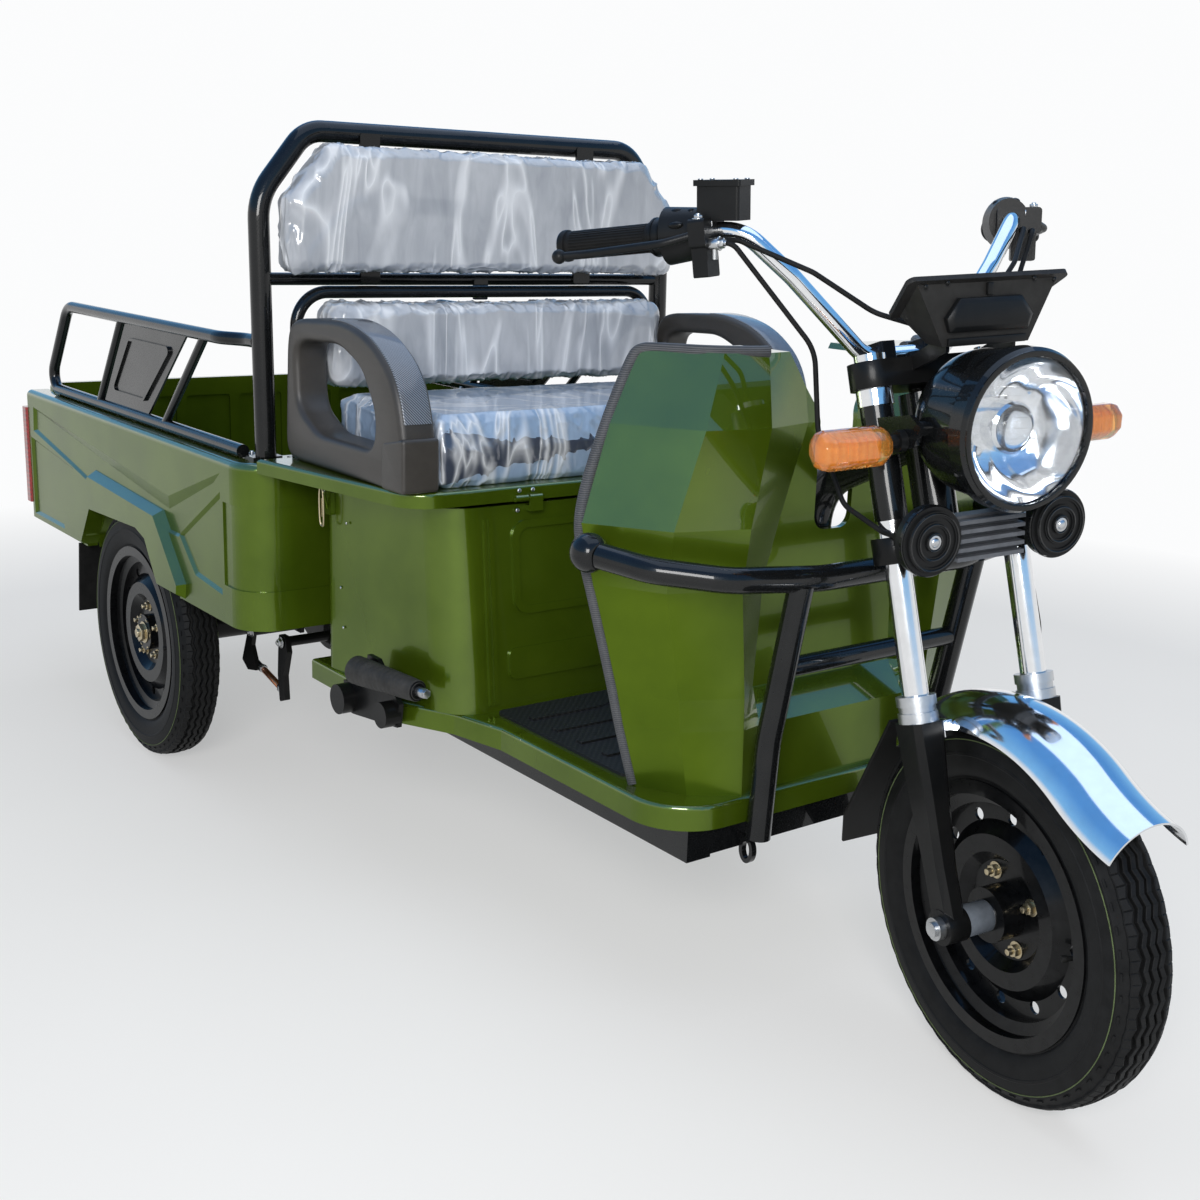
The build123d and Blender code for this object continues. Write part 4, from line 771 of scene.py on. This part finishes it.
BACK = {"voxel": 0.006, "cap": 0.011, "shares": (1.0, 0.15, 0.15),
        "pulls": (0.0034, (14.0, 20.0, 4.0), 0.0016)}
SEAT = {"voxel": 0.007, "cap": 0.012, "shares": (0.4, 0.15, 1.0),
        "pulls": (0.0022, (8.0, 20.0, 14.0), 0.0016)}
cushion("upper_back_cushion", "upper_back_pad", "frame", VINYL, **BACK)
cushion("lower_back_cushion", "lower_back_pad", "frame", VINYL, **BACK)
cushion("seat_squab", "seat_cushion", "seat", SEAT_VINYL, **SEAT,
        floor=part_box("seat_lid")[1][2] + 0.0005)


# ---------------------------------------------------------------- wheels
PITCHES = 54  # of the tread round the tyre
ZIGZAG = ((1, 0.0), (-1, 0.5))  # which way a block leans, and its shift in pitches
# Half of the tyre's section: off the middle, or in from the widest place, and down from the top
CROWN = ((0.0, 0.0062), (0.018, 0.0072))
SIDEWALL = ((0.0112, 0.0095), (0.0082, 0.0135), (0.0050, 0.0185), (0.0042, 0.0192),
            (0.0022, 0.0250), (0.0004, 0.0370), (-0.0004, 0.0380), (-0.0004, 0.0410),
            (0.0004, 0.0420), (0.0016, 0.0540), (0.0040, 0.0640), (0.0086, 0.0695),
            (0.0088, 0.0850), (0.0200, 0.0852))
# Each wheel's joint, its body and the side that its face looks to
WHEELS = {wheel: (joint(f"{body}_spin"), body, outward) for wheel, body, outward in
          (("front", "front_wheel", -1), ("rear_right", "rear_wheel_right", -1),
           ("rear_left", "rear_wheel_left", 1))}


def tread_row(size, spot, tilt=0.0, shift=0.0, rounding=0.0, slope=lambda z: 0.0):
    """A ring of blocks; each leans by a slope that may change across it."""
    block = brick((0, 0, 0), size)
    if rounding:
        bevelled(block, [e for e in block.edges if all(v.co.x > 0 for v in e.verts)], rounding)
    for v in block.verts:
        v.co.z += v.co.y * slope(v.co.z)
    place = (Matrix.Rotation(shift * math.tau / PITCHES, 4, "Z") @ Matrix.Translation(spot)
             @ Matrix.Rotation(tilt, 4, "Y"))
    bmesh.ops.transform(block, matrix=place, verts=block.verts)
    return ringed(block, PITCHES)


def tyre(wheel):
    """Carcass with sidewall steps, zigzag ribs round the crown and notched shoulders."""
    spin, body, outward = WHEELS[wheel]
    low, high = (Vector(corner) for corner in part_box("rear_right_tyre"))
    radius, half = (high.z - low.z) / 2, (high.y - low.y) / 2
    home = aimed(spin["pos_m"], spin["axis"])
    right = [(radius - deep, off) for off, deep in CROWN]
    right += [(radius - deep, half - inset) for inset, deep in SIDEWALL]
    left = [(r, -y) for r, y in reversed(right[1:])]
    form = Form(home)
    form.add(lathed(left + right + [left[0]], 96))
    step = math.tau * radius / PITCHES
    for y, wide, drop in ((0.0, 0.0072, 0.0), (0.0112, 0.0068, 0.0009), (-0.0112, 0.0068, 0.0009)):
        for lean, shift in ZIGZAG:
            form.add(tread_row((0.007, step * 0.52, wide), (radius - 0.0038 - drop, 0, y), 0.0, shift,
                               0.0006, lambda z: lean * 0.34))
    for hand in HANDS:
        for lean, shift in ZIGZAG:
            form.add(tread_row((0.009, step * 0.50, 0.0105), (radius - 0.0082, 0, hand * 0.0238),
                               -hand * 0.42, shift, 0.0012,
                               lambda z: lean * (0.28 if z * hand < 0 else 0.10)))
        form.add(tread_row((0.0042, step * 0.34, 0.0026), (radius - 0.0165, 0, hand * (half - 0.0066)),
                           -hand))
    form.finish(f"{wheel}_road_tyre", body, TYRE, (f"{wheel}_tyre",), 0.5)

    lines = Form(home)
    for hand in (outward, -outward):
        lines.add(hoop(radius - 0.0222, hand * (half - 0.0028), 0.0007, 96))
    lines.finish(f"{wheel}_mould_lines", body, MOULD_LINE)


def wheel_fittings(wheel, face, nuts, ring):
    """Nuts on studs in a ring on the rim's face, and a valve."""
    spin, body, outward = WHEELS[wheel]
    home = aimed(spin["pos_m"], Vector(spin["axis"]) * outward)
    form = Form(home)
    for a in (math.tau * (k + 0.3) / nuts for k in range(nuts)):
        form.bolt((ring * math.cos(a), ring * math.sin(a), face), UP, 0.014, 0.008, 0.007)
    form.finish(f"{wheel}_wheel_nuts", body, YELLOW_ZINC)
    valve = Form(home)
    valve.add(rod(0.016, 0.0036, 0.003, sides=12),
              spanning((0.132, 0, face + 0.003), (0.126, 0, face + 0.02)))
    valve.add(rod(0.007, 0.0042, sides=12, soft=0.0006),
              spanning((0.1265, 0, face + 0.0185), (0.124, 0, face + 0.026)))
    valve.finish(f"{wheel}_valve", body, RUBBER)


def axle_nut(wheel):
    spin, body, outward = WHEELS[wheel]
    form = Form(aimed(spin["pos_m"], (0, outward, 0)))
    nut_face = Matrix.Translation((0, 0, 0.0236))
    form.add(rod(0.0015, 0.021, soft=0.0004), Matrix.Translation((0, 0, 0.0224)))
    form.add(hexagon(0.030, 0.0095), nut_face)
    form.add(rod(0.014, 0.0085, soft=0.001), nut_face)
    form.add(ringed(brick((0.0305, 0, 0.0225), (0.003, 0.006, 0.002), 0.0005), 6))
    form.finish(f"{wheel}_axle_nut", body, YELLOW_ZINC)


for wheel in WHEELS:
    tyre(wheel)
wheel_fittings("rear_right", 0.0083, 5, 0.050)
wheel_fittings("rear_left", 0.0083, 5, 0.050)
wheel_fittings("front", 0.0043, 4, 0.049)
axle_nut("rear_right")
axle_nut("rear_left")


# ---------------------------------------------------------------- shield trim and armrests
SHIELD_EDGE = ((1.277, 0.261, 0.314), (1.272, 0.285, 0.402), (1.270, 0.294, 0.446),
               (1.260, 0.330, 0.590), (1.251, 0.341, 0.640), (1.250, 0.342, 0.690),
               (1.246, 0.303, 0.790), (1.243, 0.264, 0.868), (1.246, 0.254, 0.880),
               (1.262, 0.238, 0.881), (1.331, 0.188, 0.881), (1.341, 0.124, 0.881))
ARM_OUTLINE = rounded([(0.526, 0.6484), (0.538, 0.845), (0.562, 0.870), (0.722, 0.8785),
                       (0.805, 0.860), (0.874, 0.812), (0.902, 0.735), (0.906, 0.6484)], 0.040)
ARM_OPENING = rounded([(0.572, 0.735), (0.566, 0.822), (0.592, 0.838), (0.708, 0.842),
                       (0.778, 0.815), (0.822, 0.752), (0.815, 0.700), (0.640, 0.700)], 0.026)
ARM_FOOT = rounded([(0.842, 0.6484), (0.846, 0.716), (0.9065, 0.728), (0.9072, 0.6484)], 0.008)


def shield_trim():
    form = Form(FROM_AXLE)
    for hand in HANDS:
        form.add(from_curve([(x, hand * y, z) for x, y, z in SHIELD_EDGE], 0.0078))
    form.finish("shield_edge_trim", "frame", TRIM, crease=1.2)


def armrest(side):
    """A moulding with one large opening, a thicker foot, and a printed cover on its top."""
    low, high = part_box(f"armrest_{side}")
    middle = Matrix.Translation((0, (low[1] + high[1]) / 2, 0))
    half = (high[1] - low[1]) / 2
    form = Form(FROM_AXLE)
    form.add(moulding([ARM_OUTLINE, ARM_OPENING], half, 0.010), middle)
    form.add(moulding([ARM_FOOT], half + 0.0012, 0.005), middle)
    form.finish(f"armrest_moulding_{side}", "seat", GREY, (f"armrest_{side}",))
    top = [(p.x - 0.0002, p.y - 0.0002, 0) for p in ARM_OUTLINE if p.x > 0.62 and p.y > 0.742]
    cover = Form(FROM_AXLE)
    cover.add(from_curve(top, 0.0018, half - 0.0085, smooth=False, flat=True, rings=2),
              middle @ UPRIGHT)
    cover.finish(f"armrest_cover_{side}", "seat", CARBON, crease=0.9)


shield_trim()
armrest("right")
armrest("left")


# ---------------------------------------------------------------- handlebar fittings
BAR_TIP = Vector((1.200, 0.341, 1.019))
BAR_KNEE = Vector((1.398, 0.205, 1.041))
GRIP_LENGTH = 0.124
GRIP_RADIUS = 0.017
SWITCHES = (  # along the bar, turned forward from upright, radii
    (0.158, 0.35, (0.0085, 0.0042, 0.0055)), (0.178, 0.35, (0.0050, 0.0042, 0.0050)),
    (0.160, -0.55, (0.0075, 0.0042, 0.0050)), (0.166, 1.15, (0.0100, 0.0042, 0.0045)))


def grip_line(hand):
    """The tip of one handle, the way inward along it and the level way forward across it."""
    tip, knee = (Vector((p.x, hand * p.y, p.z)) for p in (BAR_TIP, BAR_KNEE))
    inward = (knee - tip).normalized()
    return tip, inward, Vector((-hand * inward.y, hand * inward.x, 0)).normalized()


def grip_ribs():
    form = Form(STEERED)
    for hand in HANDS:
        tip, inward, ahead = grip_line(hand)
        handle = aimed(tip, inward)
        rib = brick((GRIP_RADIUS + 0.0002, 0, GRIP_LENGTH / 2),
                    (0.0014, 0.0022, GRIP_LENGTH - 0.016), 0.0003, 1)
        form.add(ringed(rib, 30), handle)
        form.add(lathed(((GRIP_RADIUS, -0.0065), (0.0196, -0.006), (0.0201, -0.003),
                         (0.0196, 0.001), (GRIP_RADIUS, 0.002)), 32), handle)
        form.add(lathed(((GRIP_RADIUS, GRIP_LENGTH - 0.005), (0.0195, GRIP_LENGTH - 0.004),
                         (0.0198, GRIP_LENGTH - 0.001), (GRIP_RADIUS, GRIP_LENGTH)), 32), handle)
    form.finish("grip_ribs", "steering", GRIP)


def switch_buttons():
    """Buttons round each switch housing, and two thin rings where it meets the grip."""
    form = Form(STEERED)
    for hand in HANDS:
        tip, inward, ahead = grip_line(hand)
        for along, turn, radii in SWITCHES:
            way = ahead * math.sin(turn) + UP * math.cos(turn)
            spot = tip + inward * along + way * (0.0315 - (along - 0.144) * 0.10)
            turned = Matrix((inward, way, inward.cross(way))).transposed().to_4x4()
            form.add(ball((0, 0, 0), radii), Matrix.Translation(spot) @ turned)
        for along in (0.128, 0.138):
            form.add(lathed(((0.0228, along - 0.0015), (0.0240, along - 0.001),
                             (0.0240, along + 0.001), (0.0228, along + 0.0015)), 40),
                     aimed(tip, inward))
    form.finish("switch_buttons", "steering", SATIN)


def control_bolts():
    form = Form(STEERED)
    for hand in HANDS:
        tip, inward, ahead = grip_line(hand)
        clamp = tip + inward * 0.205 + ahead * 0.018
        for high in (-0.008, 0.010):
            form.bolt(clamp + UP * high, ahead, 0.008)
        pin = tip + inward * 0.198 + ahead * 0.030
        form.bolt(pin + UP * 0.0165, UP, stud=0.002)
    # The brake's master cylinder on the right: four lid screws, and the bolt that holds its hose
    tip, inward, ahead = grip_line(-1)
    level = Vector((inward.x, inward.y, 0)).normalized()
    lid = tip + inward * 0.189 + UP * 0.062
    for along in (0.005, 0.051):
        for off in (-0.016, 0.016):
            form.add(rod(0.0016, 0.0032, soft=0.0004), aimed(lid + level * along + ahead * off, UP))
    banjo = tip + inward * 0.212 + ahead * 0.026 - UP * 0.014
    form.add(rod(0.012, 0.0072, soft=0.001), aimed(banjo, inward))
    form.bolt(banjo + inward * 0.012, inward, 0.011, 0.007, 0.003)
    form.add(rod(0.018, 0.0035), aimed(banjo + inward * 0.006, -UP))
    form.finish("control_bolts", "steering", ZINC)


def end_weights():
    form = Form(STEERED)
    for hand in HANDS:
        tip, inward, ahead = grip_line(hand)
        form.add(rod(0.004, 0.0185, soft=0.0006, sides=32), aimed(tip - inward * 0.0085, inward))
    form.finish("grip_end_weights", "steering", BLACK)


grip_ribs()
switch_buttons()
control_bolts()
end_weights()


# ---------------------------------------------------------------- lamps, dash and horns
LAMP_Z = 0.822
HORN_Z = 0.696
INDICATOR_Z = 0.803


def headlamp():
    middle = aimed((1.657, 0, LAMP_Z), AHEAD)
    ring = Form(STEERED)
    ring.add(lathed(((0.0304, -0.020), (0.0304, 0.001), (0.0270, 0.004), (0.0255, 0.0005)), 40),
             middle)
    ring.finish("projector_ring", "steering", CHROME)
    eye = Form(STEERED)
    eye.add(lathed(((0.0258, 0.0004), (0.0240, 0.0058), (0.0180, 0.0105), (0.0100, 0.0130),
                    (0.0, 0.0138)), 40), middle)
    eye.add(lathed(((0.0258, 0.0004), (0.0, 0.0004)), 40), middle)
    eye.finish("projector_lens", "steering", CLEAR)
    bezel = Form(STEERED)
    bezel.add(lathed(((0.0838, -0.004), (0.0838, 0.0012), (0.0862, 0.0022), (0.0905, 0.0012),
                      (0.0905, -0.004)), 64), aimed((1.688, 0, LAMP_Z), AHEAD))
    bezel.finish("headlamp_bezel_ring", "steering", BLACK)


def dash_pod():
    """A raised panel with a sunk face over the lamp, a lip, a tab and four small heads."""
    form = Form(STEERED)
    panel = bmesh.new()
    outline = ((-0.056, 0.928), (-0.062, 0.944), (-0.044, 0.966), (0.044, 0.966), (0.062, 0.944),
               (0.056, 0.928))
    face = panel.faces.new([panel.verts.new((1.6020, y, z)) for y, z in outline])
    raised = bmesh.ops.extrude_face_region(panel, geom=[face])["geom"]
    bmesh.ops.translate(panel, vec=(0.0085, 0, 0),
                        verts=[v for v in raised if isinstance(v, bmesh.types.BMVert)])
    bmesh.ops.inset_region(panel, faces=[f for f in raised if isinstance(f, bmesh.types.BMFace)],
                           thickness=0.0075, depth=-0.0035)
    form.add(softened(panel, 0.0009))
    form.add(brick((1.6050, 0, 0.9165), (0.006, 0.112, 0.009), 0.0012))
    form.add(brick((1.6060, 0, 0.9750), (0.005, 0.008, 0.014), 0.0010))
    for side, high in ((0.092, 0.981), (0.062, 0.984), (-0.062, 0.984), (-0.092, 0.981)):
        form.add(ball((1.6085, side, high), (0.002, 0.003, 0.003), 6, 10))
    form.finish("dash_pod", "steering", PLASTIC)


def axle_bushes():
    form = Form(STEERED)
    for hand in HANDS:
        form.add(lathed(((0.012, 0.0), (0.0186, 0.0), (0.0196, 0.0012), (0.0196, 0.0372),
                         (0.0186, 0.0384), (0.012, 0.0384), (0.012, 0.0)), 40),
                 aimed((1.703, hand * 0.0362, 0.238), (0, hand, 0)))
    form.finish("axle_bushes", "steering", SLATE)


def horns():
    rings = Form(STEERED)
    rivets = Form(STEERED)
    for hand in HANDS:
        face = aimed((1.646, hand * 0.093, HORN_Z), AHEAD)
        for radius in (0.0335, 0.0210, 0.0102):
            rings.add(hoop(radius, 0.0, 0.0014, 48), face)
        rings.add(lathed(((0.0415, -0.0115), (0.0424, -0.0105), (0.0424, -0.0065),
                          (0.0415, -0.0055)), 48), face)
        rivets.add(ball((0, 0, 0.0002), (0.0062, 0.0062, 0.0036)), face)
        rivets.add(rod(0.0012, 0.0085, soft=0.0004), face)
    rings.finish("horn_rings", "steering", BLACK)
    rivets.finish("horn_rivets", "steering", ZINC)


def indicators():
    """Eight-sided clear cases, with a bright ribbed cell inside each."""
    cases = Form(STEERED)
    cells = Form(STEERED)
    for hand in HANDS:
        root = aimed((1.588, hand * 0.1223, INDICATOR_Z), (0, hand, 0))
        case = lathed(((0.0, 0.0), (0.0150, 0.0), (0.0225, 0.0100), (0.0232, 0.0180), (0.0232, 0.0840),
                       (0.0205, 0.0940), (0.0120, 0.0990), (0.0, 0.0995)), 8)
        cases.add(softened(case, 0.0022), root @ Matrix.Rotation(math.pi / 8, 4, "Z")
                  @ Matrix.Diagonal((0.94, 1.06, 1, 1)))
        cells.add(brick((0, 0, 0.050), (0.026, 0.026, 0.066), 0.006, 3), root)
        for k in range(5):
            cells.add(brick((0, 0, 0.024 + 0.013 * k), (0.029, 0.029, 0.0022), 0.0006, 1), root)
    cases.finish("indicator_cases", "steering", AMBER, ("indicator_lenses",), 0.5)
    cells.finish("indicator_cells", "steering", AMBER_CELL)


headlamp()
dash_pod()
axle_bushes()
horns()
indicators()


# ---------------------------------------------------------------- latch, screws and bolts
def latch_bail():
    """A wire loop over the bucket's catch, and the catch's plate."""
    form = Form(FROM_AXLE)
    loop = ((0.600, -0.3745, 0.552), (0.600, -0.3755, 0.606), (0.607, -0.3745, 0.613),
            (0.614, -0.3755, 0.606), (0.614, -0.3745, 0.552), (0.607, -0.3735, 0.547))
    form.add(from_curve(loop, 0.0015, closed=True))
    form.add(brick((0.607, -0.3725, 0.578), (0.008, 0.003, 0.030), 0.001))
    form.finish("latch_bail", "frame", YELLOW_ZINC)


def hinge_screws():
    """Round heads on both leaves of the lid's hinges, and on the bucket's side."""
    head = (0.0036, 0.0036, 0.0018)
    bucket = Form(FROM_AXLE)
    lid = Form(FROM_AXLE)
    for y in (-0.203, -0.179, 0.177, 0.201):
        lid.add(ball((0, 0, 0), head), aimed((0.9085, y, 0.6405), AHEAD))
        bucket.add(ball((0, 0, 0), head), aimed((0.9045, y, 0.6105), AHEAD))
    for x, z in ((0.634, 0.452), (0.642, 0.388), (0.655, 0.560)):
        bucket.add(ball((0, 0, 0), (0.0024, 0.0024, 0.0014)), aimed((x, -0.3565, z), (0, -1, 0)))
    bucket.finish("bucket_screws", "frame", ZINC)
    lid.finish("lid_hinge_screws", "seat", ZINC)


def rail_bolts():
    form = Form(FROM_AXLE)
    for hand in HANDS:
        for x in (-0.535, -0.505, -0.250, 0.075, 0.430):
            form.bolt((x, hand * 0.411, 0.6364), UP, 0.011, 0.006, 0.003)
    form.finish("rail_bolts", "frame", ZINC)


def brake_rod():
    """A copper sleeve and lock nuts on the rod, and nuts on the pins of the two levers."""
    start, end = Vector((0.262, -0.339, 0.234)), Vector((0.388, -0.339, 0.206))
    sleeve = Form(FROM_AXLE)
    sleeve.add(rod(0.062, 0.0058, sides=16, soft=0.001), spanning(start.lerp(end, 0.32), end))
    sleeve.finish("brake_rod_sleeve", "frame", COPPER)
    nuts = Form(FROM_AXLE)
    for share in (0.24, 0.84):
        nuts.add(hexagon(0.014, 0.008), aimed(start.lerp(end, share), end - start))
    for x, z in ((0.392, 0.300), (0.2690, 0.290)):
        nuts.bolt((x, -0.3478, z), (0, -1, 0), 0.013, 0.006, 0.003)
    nuts.finish("brake_rod_nuts", "frame", ZINC)


def foot_pegs():
    """Rubbers with twelve ribs that thin towards the tip, and a bolt in each end."""
    sleeves = Form(FROM_AXLE)
    ends = Form(FROM_AXLE)
    for hand in HANDS:
        root, tip = Vector((0.752, hand * 0.392, 0.352)), Vector((0.905, hand * 0.372, 0.356))
        run = (tip - root).length
        profile = [(0.0150, 0.0), (0.0222, 0.001)]
        for k in range(12):
            along = run * (0.06 + 0.072 * k)
            wide = 0.0218 - 0.006 * along / run
            profile += [(wide, along), (wide + 0.0006, along + run * 0.018),
                        (wide + 0.0006, along + run * 0.045), (wide, along + run * 0.062)]
        profile += [(0.0162, run - 0.002), (0.0120, run + 0.0006)]
        sleeves.add(lathed(profile, 32), spanning(root, tip))
        outward = (tip - root).normalized()
        ends.add(rod(0.0172, 0.0074, sides=20, soft=0.0008), aimed(tip, outward))
        ends.add(hexagon(0.0125, 0.005), aimed(tip + outward * 0.0165, outward))
    sleeves.finish("peg_rubbers", "frame", PEG_RUBBER)
    ends.finish("peg_bolts", "frame", ZINC)


latch_bail()
hinge_screws()
rail_bolts()
brake_rod()
foot_pegs()


# ---------------------------------------------------------------- softer edges on hard nodes
def eased(node, width, segments=2):
    made = frame["nodes"][node]
    made.modifiers.new("weld", "WELD").merge_threshold = 0.0001
    edge = made.modifiers.new("edge", "BEVEL")
    edge.width = width
    edge.segments = segments
    edge.limit_method = "ANGLE"
    edge.angle_limit = 0.6
    edge.harden_normals = False


eased("dash_housing", 0.0022)
eased("finned_cover", 0.001, 1)
eased("front_mudflap", 0.001, 1)
eased("fork_yokes", 0.003)
eased("tailgate", 0.0015)
eased("fork_legs", 0.002)


# ---------------------------------------------------------------- stage, light and camera
PALE = (0.97, 0.975, 0.98)
SKY = ((0.14, PALE), (0.27, (0.24, 0.58, 1.0)), (0.7, (0.10, 0.34, 0.80)))  # by height
FLOOR_REACH = 2.0  # metres from the middle to where the floor starts to fade
FADE = 0.45  # how much of the backdrop shows on the near floor, and what each metre adds


def stage_floor():
    """A pale floor that runs into the backdrop's own colour far from the object."""
    bpy.ops.mesh.primitive_plane_add(size=60, location=(0, 0, 0))
    floor = bpy.context.object
    floor.name = "floor"
    f = Finish("pale_floor", Specular_IOR_Level=0.1)
    cloud = f.noise(1.5, 2.0)
    f.set(Base_Color=f.ramp(cloud, (0.3, (0.84, 0.84, 0.84)), (0.7, (0.87, 0.87, 0.87))),
          Roughness=cloud * 0.1 + 0.8)
    length = f.node("ShaderNodeVectorMath", {"operation": "LENGTH"}, Vector=f.place)
    away = Value(f.tree, length.outputs["Value"])
    fade = ((away - FLOOR_REACH) * FADE + FADE).clamp().at_least(FADE)
    glow = f.node("ShaderNodeEmission", Strength=1.0, Color=(*PALE, 1))
    blend = f.node("ShaderNodeMixShader", Fac=fade * visible_ray(f.tree))
    f.tree.links.new(f.shader.outputs[0], blend.inputs[1])
    f.tree.links.new(glow.outputs[0], blend.inputs[2])
    f.tree.links.new(blend.outputs[0], f.tree.nodes["Material Output"].inputs["Surface"])
    floor.data.materials.append(f.material)


def surroundings():
    """Even light, and what the camera, metal and glass see: pale at the horizon, blue overhead."""
    world = bpy.data.worlds.new("studio")
    bpy.context.scene.world = world
    world.use_nodes = True
    tree = world.node_tree
    lit = tree.nodes["Background"]
    lit.inputs["Color"].default_value = (0.90, 0.95, 1.0, 1)
    lit.inputs["Strength"].default_value = 0.34
    split = tree.nodes.new("ShaderNodeSeparateXYZ")
    tree.links.new(tree.nodes.new("ShaderNodeTexCoord").outputs["Generated"], split.inputs[0])
    sky = tree.nodes.new("ShaderNodeValToRGB")
    tree.links.new(split.outputs["Z"], sky.inputs[0])
    stops = sky.color_ramp.elements
    for at, colour in SKY:
        stops.new(at).color = (*colour, 1)
    stops.remove(stops[0])
    stops.remove(stops[-1])
    seen = tree.nodes.new("ShaderNodeBackground")
    tree.links.new(sky.outputs[0], seen.inputs["Color"])
    choose = tree.nodes.new("ShaderNodeMixShader")
    tree.links.new(visible_ray(tree).socket, choose.inputs[0])
    tree.links.new(lit.outputs[0], choose.inputs[1])
    tree.links.new(seen.outputs[0], choose.inputs[2])
    tree.links.new(choose.outputs[0], tree.nodes["World Output"].inputs["Surface"])


def soft_box(name, place, target, width, height, power, tint):
    light = bpy.data.lights.new(name, "AREA")
    light.shape = "RECTANGLE"
    light.size = width
    light.size_y = height
    light.energy = power
    light.color = tint
    lamp = bpy.data.objects.new(name, light)
    lamp.location = place
    lamp.rotation_euler = (Vector(target) - Vector(place)).to_track_quat("-Z", "Y").to_euler()
    bpy.context.collection.objects.link(lamp)


def camera(place, yaw, pitch, roll, focal):
    ahead = Vector((math.cos(yaw) * math.cos(pitch), math.sin(yaw) * math.cos(pitch), math.sin(pitch)))
    right = ahead.cross(UP).normalized()
    up = right.cross(ahead)
    across = right * math.cos(roll) + up * math.sin(roll)
    upward = up * math.cos(roll) - right * math.sin(roll)
    lens = bpy.data.cameras.new("camera")
    lens.lens = focal
    lens.sensor_width = 36.0
    lens.clip_end = 200.0
    made = bpy.data.objects.new("camera", lens)
    bpy.context.collection.objects.link(made)
    turn = Matrix((across, upward, -ahead)).transposed().to_4x4()
    made.matrix_world = Matrix.Translation(place) @ turn
    bpy.context.scene.camera = made


stage_floor()
surroundings()
soft_box("key", (3.3, -2.7, 2.1), (0.1, 0, 0.55), 1.7, 1.3, 125, (1.0, 0.98, 0.95))
soft_box("overhead", (0.2, 0.4, 3.6), (0.1, 0, 0.4), 4.4, 3.4, 48, (0.88, 0.94, 1.0))
camera((2.1007, -1.4507, 1.0423), 2.4921, -0.2482, 0.0342, 45.754)
bpy.context.scene.view_settings.view_transform = "Standard"
